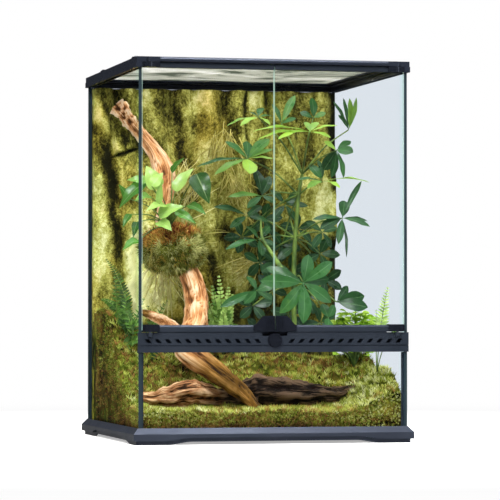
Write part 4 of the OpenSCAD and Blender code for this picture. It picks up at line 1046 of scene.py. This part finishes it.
# %% Clump material
clump_skin, tree = new_material("clump_skin")
place = tree.coordinates()
lumps = tree.noise(place, 60.0, 5.0, 0.7)
green = tree.paint(lumps, (0.35, 20, 24, 4), (0.52, 98, 102, 28), (0.7, 170, 168, 70))
brown = tree.paint(lumps, (0.35, 84, 36, 10), (0.5, 198, 124, 52), (0.66, 255, 214, 120))
top = tree.rise(tree.plus(tree.axis(place, "Z"), tree.times(lumps, 0.03)), 0.338, 0.35)
tree.surface(tree.principled(tree.mix(top, green, brown), tree.scaled(lumps, 0.2, 0.7),
                             Specular_IOR_Level=0.05, Normal=tree.bump(lumps, 0.9, 0.006)))
finish(clump, "tank", ["moss_clump"], clump_skin)
finish(clump_fur, "tank", [], moss_material(
    "clump_fur", (0.0, 110, 58, 30), (0.14, 190, 112, 56), (0.26, 250, 208, 96), (0.32, 64, 76, 20),
    (0.6, 158, 162, 62), (1.0, 255, 250, 160)), False)

# %% [markdown]
# ## Straw and roots
# Dry stems and pale air roots hang on the rock and under the clump. One thin curved strand is modelled
# and copied in bunches: each bunch has a middle, a spread, a direction and a range of lengths. No strand
# points into the panel.

# %% Straw
# Each bunch: middle, spread, direction, shortest and longest, how many, shade
bunches = [
    ((6, 176, 520), (30, 5, 26), (-0.1, -0.05, -1), (36, 90), 40, 0.6),
    ((30, 172, 440), (22, 6, 26), (0.1, 0, -1), (24, 60), 50, 0.6),
    ((-66, 168, 410), (28, 6, 34), (0.2, -0.1, 1), (24, 60), 60, 0.9),
    ((54, 140, 298), (14, 10, 10), (-1, -0.3, -0.7), (30, 60), 50, 0.6),
    ((-108, 120, 300), (24, 30, 24), (0.1, -0.1, -1), (50, 110), 44, 0.95),
    ((-84, 60, 340), (26, 24, 14), (0.5, -0.2, -0.4), (20, 50), 50, 0.6),
    ((-152, 20, 322), (10, 12, 18), (-0.2, -0.3, -1), (14, 30), 24, 0.35),
    ((60, 168, 360), (50, 8, 60), (0.4, 0, -1), (20, 50), 60, 0.35)]
strands = []
for middle, spread, way, lengths, many, shade in bunches:
    for _ in range(many):
        spot = np.array([pick.gauss(m, 0.5 * w) for m, w in zip(middle, spread)])
        spot[1] = min(spot[1], rock_front(spot[0], spot[2]) - 4)
        head = np.array(way) + [pick.uniform(-0.7, 0.7) for _ in range(3)]
        head[1] = -0.4 * abs(head[1])
        pose, _ = aim(spot, spot + head, (pick.uniform(-1, 1), -1, pick.uniform(-1, 1)))
        size = pick.uniform(*lengths) / MM
        strands.append((pose, (size, 0.055, 0.055 + size * 0.4), tuple(spot),
                        min(1, shade + pick.uniform(-0.3, 0.2))))
strand = rolled_limb("strand", [(0, 0, 0), (330, 0, 60), (660, 8, 70), (1000, 0, 0)], [14, 14, 12, 4], 4, 8,
                     start=(0, 1, 0.1))
finish(scatter("straw", strand, strands), "tank", [], moss_material(
    "straw_colour", (0.0, 92, 78, 28), (0.4, 168, 158, 78), (0.7, 216, 204, 116), (1.0, 248, 240, 176),
    dark_foot=0.0), False)

# %% [markdown]
# ## Leaves
# A leaf is a grid that is given an outline, a fold along its midrib and a droop towards its tip. The grid's
# UV map carries the veins: the midrib runs at U = 0.5 and the side veins branch from it in V.

# %% Leaf shape
def leaf_template(outline, fold, arch, cells, wave=0.0):
    """A leaf 1 m long on +X and 1 m wide; outline gives (share along, half width)."""
    shares, widths = zip(*outline)

    def point(u, v):
        half = float(np.interp(v, shares, widths))
        s = 2 * u - 1
        z = fold * abs(s) * half + arch * 4 * v * (1 - v) + wave * math.sin(14 * v) * half * s * s
        return (MM * v, MM * half * s, MM * z)

    return shaped_grid("leaf", cells, point)


def hung_leaf(base, tip, up, width, shade):
    """A copy of a leaf from base to tip, for scatter."""
    pose, length = aim(base, tip, up)
    return (pose, (length / MM, width / MM, length / MM), base, shade)


def stalk(route, radii, around=6, along=12, start=(0.3, 1, 0.2)):
    return rolled_limb("stalk", route, radii, around, along, start=start)

# %% Leaf material
leaf_veins, tree, given = new_group(
    "leaf_veins", {"Roughness": FLOAT}, {"Vein": FLOAT, "Value": FLOAT, "Roughness": FLOAT, "Normal": VECTOR})
uv = tree.coordinates("UV")
off = tree.math("ABSOLUTE", tree.math("SUBTRACT", tree.axis(uv, "X"), 0.5))
midrib = tree.math("SUBTRACT", 1.0, tree.times(off, 22.0), clamp=True)
slope = tree.math("SUBTRACT", tree.times(tree.axis(uv, "Y"), 62.0), tree.times(off, 26.0))
side_veins = tree.math("POWER", tree.math("ABSOLUTE", tree.math("SINE", slope)), 14.0)
vein = tree.math("MAXIMUM", midrib, tree.times(side_veins, 0.35))
mottle = tree.noise(tree.coordinates(), 70.0, 3.0, 0.55)
tree.add("NodeGroupOutput", {
    "Vein": vein, "Value": tree.plus(tree.attribute("shade"), tree.centred(mottle, 0.5, 0.35), clamp=True),
    "Roughness": tree.scaled(mottle, 0.2, given["Roughness"]), "Normal": tree.bump(vein, 0.3, 0.0005)})


def leaf_material(name, dark, middle, fresh, vein, roughness, through, sheen=0.3):
    material, tree = new_material(name)
    leaf = tree.use(leaf_veins, Roughness=roughness - 0.1)
    colour = tree.paint(leaf["Value"], (0.0, *dark), (0.42, *middle), (1.0, *fresh), smooth=False)
    colour = tree.mix(tree.times(leaf["Vein"], 0.4), colour, tone(*vein))
    shader = tree.principled(colour, leaf["Roughness"], Specular_IOR_Level=sheen, Normal=leaf["Normal"])
    tree.thin_surface(shader, colour, through)
    return material


stem_green, tree = new_material("green_stem")
rings = tree.use(fine_marks, Scale=60.0, Grit=0.6, Stretch=(1, 1, 0.4), Rough_Width=0.2, Rough_Base=0.4,
                 Strength=0.3, Distance=0.001)
tree.surface(tree.principled(tree.paint(rings["Marks"], (0.3, 46, 74, 20), (0.7, 120, 146, 58)),
                             rings["Roughness"], Normal=rings["Normal"]))


def finish_plant(names, leaf, leaves, stalks, replaced, green):
    """Copies a plant's leaf, joins its stalks and dresses both; the leaves stand for the CAD nodes."""
    finish(scatter(names[0], leaf, leaves), "tank", replaced, green)
    finish(merge(names[1], stalks), "tank", [], stem_green)

# %% [markdown]
# ## Umbrella plant
# Its leaves are whorls of leaflets round a hub, each whorl on a long stalk from a central stem. The low
# whorls face the front glass, the young ones at the top lie flat towards the light and are yellow-green,
# from their youth and from painted light.

# %% Whorls
umbrella_outline = [(0, 0.03), (0.08, 0.04), (0.18, 0.2), (0.36, 0.4), (0.58, 0.5), (0.74, 0.47), (0.88, 0.31),
                    (0.96, 0.14), (1, 0.02)]
# Each whorl: hub, joint on the stem, how far it faces the front, leaflets (tip x, y, z, width, shade);
# a leaflet's shade holds its own colour and painted light and shade
whorls = [
    ((76, -120, 263), 1, 1.0, [(87, -112, 310, 22, .3), (129, -110, 298, 20, .4), (127, -96, 270, 17, .16),
     (123, -124, 230, 20, .34), (71, -138, 195, 23, .4), (32, -134, 212, 22, .42), (2, -120, 266, 21, .34),
     (18, -98, 288, 17, .22)]),
    ((14, 20, 476), 3, 0.5, [(-23, 30, 506, 14, .42), (54, 24, 511, 20, .5), (20, 50, 508, 17, .3),
     (56, 10, 492, 10, .55), (55, 0, 475, 7, .8), (-79, 4, 460, 7, .3), (-49, -2, 447, 12, .62),
     (8, -24, 448, 25, .95)]),
    ((114, -20, 521), 4, 0.2, [(6, -50, 518, 7, .92), (12, -56, 503, 9, .96), (48, -60, 505, 17, .98),
     (162, -26, 532, 16, .95), (144, -44, 510, 14, .9), (113, 4, 540, 12, .7), (136, 10, 540, 12, .75)]),
    ((38, 40, 549), 4, 0.2, [(-20, 30, 532, 9, .72), (1, 16, 532, 12, .9), (65, 50, 552, 9, .45),
     (51, 10, 534, 10, .85), (24, 70, 560, 10, .25), (54, 80, 568, 12, .3)]),
    ((84, 60, 540), 4, 0.6, [(111, 70, 590, 13, .5), (71, 76, 575, 10, .25), (108, 50, 549, 9, .35)]),
    ((154, 110, 554), 4, 0.6, [(153, 116, 590, 17, .22), (131, 114, 564, 12, .2), (176, 106, 563, 10, .5)]),
    ((200, 44, 530), 4, 0.6, [(203, 48, 585, 11, .72), (214, 44, 586, 8, .66), (186, 60, 557, 10, .2),
     (199, 74, 587, 6, .15), (182, 78, 581, 6, .12)]),
    ((168, 6, 492), 4, 0.6, [(191, -18, 487, 21, .36), (172, -24, 443, 10, .3), (148, 16, 458, 20, .06),
     (156, -4, 444, 13, .1), (198, 22, 509, 12, .3), (142, -8, 505, 12, .9)]),
    ((146, 20, 441), 3, 0.7, [(128, 34, 468, 16, .36), (147, 50, 477, 12, .1)]),
    ((139, -10, 437), 3, 0.3, [(208, -60, 434, 10, .86), (155, -62, 424, 12, .92), (100, -56, 423, 12, .66),
     (89, -18, 439, 10, .3)]),
    ((160, -60, 373), 2, 0.5, [(198, -46, 437, 9, .12), (203, -66, 368, 8, .1), (200, -90, 358, 12, .16),
     (106, -70, 370, 11, .12), (172, -30, 404, 18, .1), (119, -68, 354, 17, .04), (144, -94, 328, 12, .14),
     (160, -86, 306, 5, .04)]),
    ((139, -100, 231), 1, 0.9, [(186, -106, 241, 22, .1), (189, -116, 222, 21, .08), (163, -84, 258, 13, .05)]),
    ((15, -40, 250), 1, 0.7, [(-54, -64, 222, 14, .3), (-16, -80, 228, 13, .26), (45, -50, 263, 18, .32),
     (5, -16, 275, 15, .2), (37, -60, 234, 15, .12)]),
    ((34, 20, 338), 2, 0.5, [(-29, 0, 320, 11, .32), (56, 30, 362, 12, .2), (17, 44, 362, 12, .25),
     (59, 6, 327, 13, .1), (34, -2, 310, 13, .14)]),
    ((42, 30, 413), 3, 0.5, [(-21, 16, 410, 12, .55), (36, 50, 459, 18, .04), (60, 44, 448, 15, .12),
     (10, 6, 391, 12, .25), (64, 20, 401, 13, .16)]),
    ((18, 40, 379), 2, 0.5, [(-45, 20, 393, 14, .08), (-18, 16, 357, 12, .14), (48, 56, 397, 13, .12),
     (53, 32, 369, 13, .16)]),
    ((96, 80, 400), 2, 0.6, [(70, 86, 426, 15, .08), (122, 80, 423, 15, .14), (134, 70, 398, 12, .1),
     (110, 60, 370, 13, .12), (70, 66, 375, 13, .1)]),
    ((74, 60, 300), 1, 0.6, [(44, 66, 321, 15, .06), (104, 64, 325, 15, .1), (44, 40, 283, 15, .1),
     (91, 40, 276, 13, .12)]),
    ((149, 30, 352), 2, 0.6, [(123, 40, 369, 13, .08), (174, 24, 359, 13, .1), (126, 12, 324, 13, .12),
     (161, 16, 324, 12, .05)]),
    ((122, -110, 204), 1, 0.9, [(114, -100, 228, 15, .3), (134, -104, 226, 13, .34), (119, -120, 189, 17, .36)])]
trunk = [(104, 46, 160), (102, 44, 262), (104, 42, 342), (110, 40, 416), (116, 40, 452)]
# Whorls behind the others are painted dark as shade
for k in range(16):  # dark whorls behind the others, spread by the golden ratio
    x, y, z = 20 + 170 * (k * 0.618 % 1), 100 + 30 * math.sin(k), 150 + 15 * k
    whorls.append(((x, y, z), min(3, k // 4), 0.8, [
        (x + 34 * math.cos(a + k), y - 8, z + 30 * math.sin(a + k), 15, 0.02 + 0.02 * (k % 4))
        for a in (0.3, 1.5, 2.8, 4.0, 5.2)]))
leaves, stalks = [], []
for hub, joint, front, leaflets in whorls:
    for x, y, z, width, shade in leaflets:
        up = (0.2 * front + pick.uniform(-0.2, 0.2), -front, 1.05 - front)
        leaves.append(hung_leaf(hub, (x, y, z), up, 1.1 * width, shade))
    a, b = np.array(trunk[joint], float), np.array(hub, float)
    bend = (a + b) / 2 + np.array([0, 0, 0.08 * np.linalg.norm(b - a)])
    stalks.append(stalk([a, bend, b], [1.7, 1.3, 1.1], start=(0.3, 0.2, 1)))
stalks.append(rolled_limb("stem", trunk, [4.4, 4, 3.6, 3.2, 2.6], 10, 60,
                          lambda a, v: 1 + 0.12 * (math.sin(60 * v) > 0.9), start=(1, 0.2, 0)))
stalks.append(rolled_limb(
    "twig", [(60, -60, 276), (50, -30, 306), (36, 0, 340), (34, 6, 372)], [4.6, 3.6, 2.4, 1.6], 10, 40,
    lambda a, v: 1 + 0.2 * fractal(9 * math.cos(a), 9, 300 * v, 14, 3)))
umbrella_green = leaf_material("umbrella_green", (22, 54, 26), (58, 112, 52), (166, 206, 74), (140, 184, 120),
                               0.3, 0.3, 0.42)
finish_plant(("umbrella_leaves", "umbrella_stems"), leaf_template(umbrella_outline, 0.05, 0.07, (4, 12), 0.03),
             leaves, stalks, ["umbrella_plant"], umbrella_green)

# %% [markdown]
# ## Climbing plant
# Pale, glossy heart-shaped leaves hang round the branch on thin stalks that all leave the moss clump.

# %% Climbing plant
heart_outline = [(0, 0.2), (0.04, 0.36), (0.13, 0.48), (0.28, 0.5), (0.48, 0.44), (0.68, 0.3), (0.87, 0.13),
                 (1, 0.01)]
# Each leaf: base, tip, width, shade, which holds its own colour and painted light and shade
pothos_leaves = [
    ((-167, -10, 435), (-214, -4, 388), 26, .30), ((-169, -20, 434), (-202, -10, 436), 17, .70),
    ((-153, -30, 421), (-171, -20, 460), 30, .95), ((-164, -36, 425), (-144, -30, 448), 20, 1.0),
    ((-151, -30, 397), (-148, -34, 437), 12, .80), ((-121, -20, 418), (-88, -14, 457), 23, .90),
    ((-80, 0, 448), (-62, -20, 397), 36, .06), ((-94, 0, 395), (-70, -30, 378), 20, .25),
    ((-149, -20, 376), (-110, -40, 392), 26, .85), ((-150, -20, 366), (-132, -44, 350), 24, .80),
    ((-182, -10, 335), (-213, -30, 317), 18, .40), ((-180, 10, 366), (-191, -10, 339), 15, .12),
    ((-194, 0, 379), (-208, -6, 356), 13, .30), ((-137, -20, 393), (-177, -50, 383), 20, .90),
    ((-116, 30, 452), (-98, 10, 476), 13, .30), ((-194, 20, 407), (-212, 10, 430), 15, .25),
    ((-164, -20, 409), (-194, -40, 400), 20, .55), ((-120, -20, 383), (-89, -40, 362), 17, .35)]
crown = np.array([-120, 26, 360.0])
leaves, stalks = [], []
for base, tip, width, shade in pothos_leaves:
    leaves.append(hung_leaf(base, tip, (-0.3 + pick.uniform(-0.3, 0.3), -1, 0.7), width, shade))
    end = np.array(base, float)
    bend = (crown + end) / 2 + np.array([0, -6, 8.0])
    stalks.append(stalk([crown, bend, end], [1.5, 1.1, 0.9]))
climber_green = leaf_material("climber_green", (26, 70, 24), (86, 146, 46), (184, 218, 112), (200, 228, 150),
                              0.24, 0.35, 0.6)
finish_plant(("climber_leaves", "climber_stalks"), leaf_template(heart_outline, 0.12, 0.1, (6, 12), 0.06),
             leaves, stalks, ["pothos"], climber_green)

# %% [markdown]
# ## Ferns
# A frond is a thin curved rib with two rows of small pinnae that shorten towards the tip. One pinna is
# modelled and copied along every rib.

# %% Fronds
pinna_outline = [(0, 0.2), (0.12, 0.46), (0.35, 0.5), (0.7, 0.34), (1, 0.06)]
pinnae, ribs = [], []
facing = np.array((-0.25, -0.95, 0.25))  # pinnae turn their upper sides to the front


def frond(base, tip, bow, width, gap, plump, shade, bare=0.08, loose=0.4):
    """One frond whose middle is moved by bow. Plump is a pinna's width over its length, bare the share of
    the rib without pinnae, and loose how much they turn at random."""
    a, c = np.array(base, float), np.array(tip, float)
    b = (a + c) / 2 + np.array(bow, float)

    def along(t):
        return (1 - t) ** 2 * a + 2 * t * (1 - t) * b + t * t * c

    ribs.append(stalk([along(t) for t in np.linspace(0, 1, 6)], [1.0, 0.9, 0.8, 0.7, 0.5, 0.3], 5, 20,
                      start=(0.3, 0.2, 0.5)))
    count = int(np.linalg.norm(c - a) * (1 - bare) / gap)
    for k in range(count):
        t = bare + (1 - bare) * (k + 0.5) / count
        spot = along(t)
        way = 2 * (1 - t) * (b - a) + 2 * t * (c - b)
        way /= np.linalg.norm(way)
        across = np.cross(facing, way)
        half = width / 2 * (1 - t) ** 0.7 * min(1, 4 * t + 0.3) + 1.6
        for side in (-1, 1):
            reach = spot + half * (0.5 * way + 0.87 * side * across / np.linalg.norm(across))
            up = facing + [pick.uniform(-loose, loose), 0, pick.uniform(-loose, loose)]
            size = (half / MM, max(half, 5) * plump / MM, half / MM)
            # Pinnae nearer the foot of the rib get painted shade
            pinnae.append((aim(spot, reach, up)[0], size, tuple(spot),
                           min(1, shade + 0.3 * t + pick.uniform(-0.32, 0.32))))


def planted(x, y):
    return (x, y, grown_top(x, y))


for base, tip, bow in (  # sword fern
        ((-190, 30, 206), (-205, 161, 306), (6, -20, 16)), ((-192, 20, 176), (-206, 200, 236), (0, 0, 30)),
        ((-190, -10, 176), (-200, 120, 250), (0, -20, 20)), ((-194, 60, 180), (-196, 30, 250), (0, -20, 0)),
        ((-200, 90, 190), (-210, 214, 214), (0, 0, 24)), ((-196, 40, 170), (-184, -60, 190), (0, 0, 28)),
        ((-200, 96, 196), (-204, 90, 276), (0, -24, 0)), ((-194, 0, 150), (-206, 130, 190), (-6, 0, 20)),
        ((-188, 20, 160), (-168, 10, 238), (-8, -10, 0)), ((-196, 60, 150), (-176, -40, 160), (0, 0, 22)),
        ((-150, 90, 150), (-112, 80, 236), (-10, 0, 0)), ((-140, 90, 150), (-150, 70, 226), (8, 0, 0)),
        ((-160, 60, 120), (-130, 20, 150), (0, 0, 20)), ((-170, 40, 110), (-176, -10, 150), (0, 0, 16))):
    frond(base, tip, bow, 28, 7.0, 0.36, pick.uniform(-0.1, 0.25))
button = planted(-14, 84)
for tip, bow in (((-26, 66, 278), (4, 0, 0)), ((-52, 56, 236), (0, 0, 26)), ((-2, 60, 244), (0, 0, 26)),
                 ((-48, 40, 196), (-6, -6, 26)), ((0, 40, 190), (6, -6, 26)), ((-28, 30, 216), (0, -20, 20)),
                 ((-16, 40, 232), (0, -10, 10)), ((-42, 50, 260), (4, 0, 10)), ((-12, 50, 258), (2, 0, 10))):
    frond(button, tip, bow, 30, 7.0, 0.95, pick.uniform(0.3, 0.8), loose=0.9)
corner = planted(198, -140)
for tip, bow, width, bare in (((214, -150, 256), (-6, 0, 0), 44, 0.4), ((194, -150, 218), (-2, 0, 0), 16, 0.5)):
    frond(corner, tip, bow, width, 5.0, 0.4, 0.66, bare)
frond(corner, (217, -206, 184), (-14, -24, 28), 18, 4.0, 0.7, 0.05, 0.4)
fern_green = leaf_material("fern_green", (28, 64, 16), (90, 134, 44), (196, 224, 124), (180, 216, 120), 0.45, 0.35)
finish_plant(("fern_pinnae", "fern_ribs"), leaf_template(pinna_outline, 0.1, 0.08, (2, 5)), pinnae, ribs,
             ["sword_fern", "button_fern", "corner_fern"], fern_green)

# %% [markdown]
# ## Ground herb
# A low cushion of small round leaves at the right, bright against the dark umbrella leaves.

# %% Herb
HERB_LEAVES, HERB_TOP = 340, 212
round_outline = [(0, 0.05), (0.1, 0.25), (0.3, 0.45), (0.6, 0.5), (0.85, 0.34), (1, 0.05)]
herb = np.array(planted(180, -62))
leaves, stalks = [], []
for k in range(HERB_LEAVES):
    reach = 34 * math.sqrt((k + 0.5) / HERB_LEAVES)
    a = 137.5 * k  # the golden angle spreads the leaves evenly
    tip = herb + np.array([reach * math.cos(math.radians(a)), reach * math.sin(math.radians(a)),
                           HERB_TOP - herb[2] - 0.02 * reach ** 2 + pick.uniform(-50, 4)])
    leaves.append((turn(a, pick.uniform(-10, 30), pick.uniform(-30, 30)), pick.uniform(0.01, 0.016),
                   tuple(tip), pick.uniform(0.35, 1)))
    if k % 9 == 0:
        stalks.append(stalk([herb, (herb + tip) / 2 + np.array([0, 0, 6]), tip], [1.2, 1, 0.7], 5, 8))
herb_green = leaf_material("herb_green", (60, 106, 22), (128, 172, 38), (198, 226, 86), (198, 216, 112), 0.4, 0.35)
finish_plant(("herb_leaves", "herb_stalks"), leaf_template(round_outline, 0.2, 0.08, (4, 6)), leaves, stalks,
             ["ground_herb"], herb_green)

# %% [markdown]
# ## Measure
# The box round the dressed object is measured. The dressed object must stay inside the CAD model's box.

# %% Bounds
low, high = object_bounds()
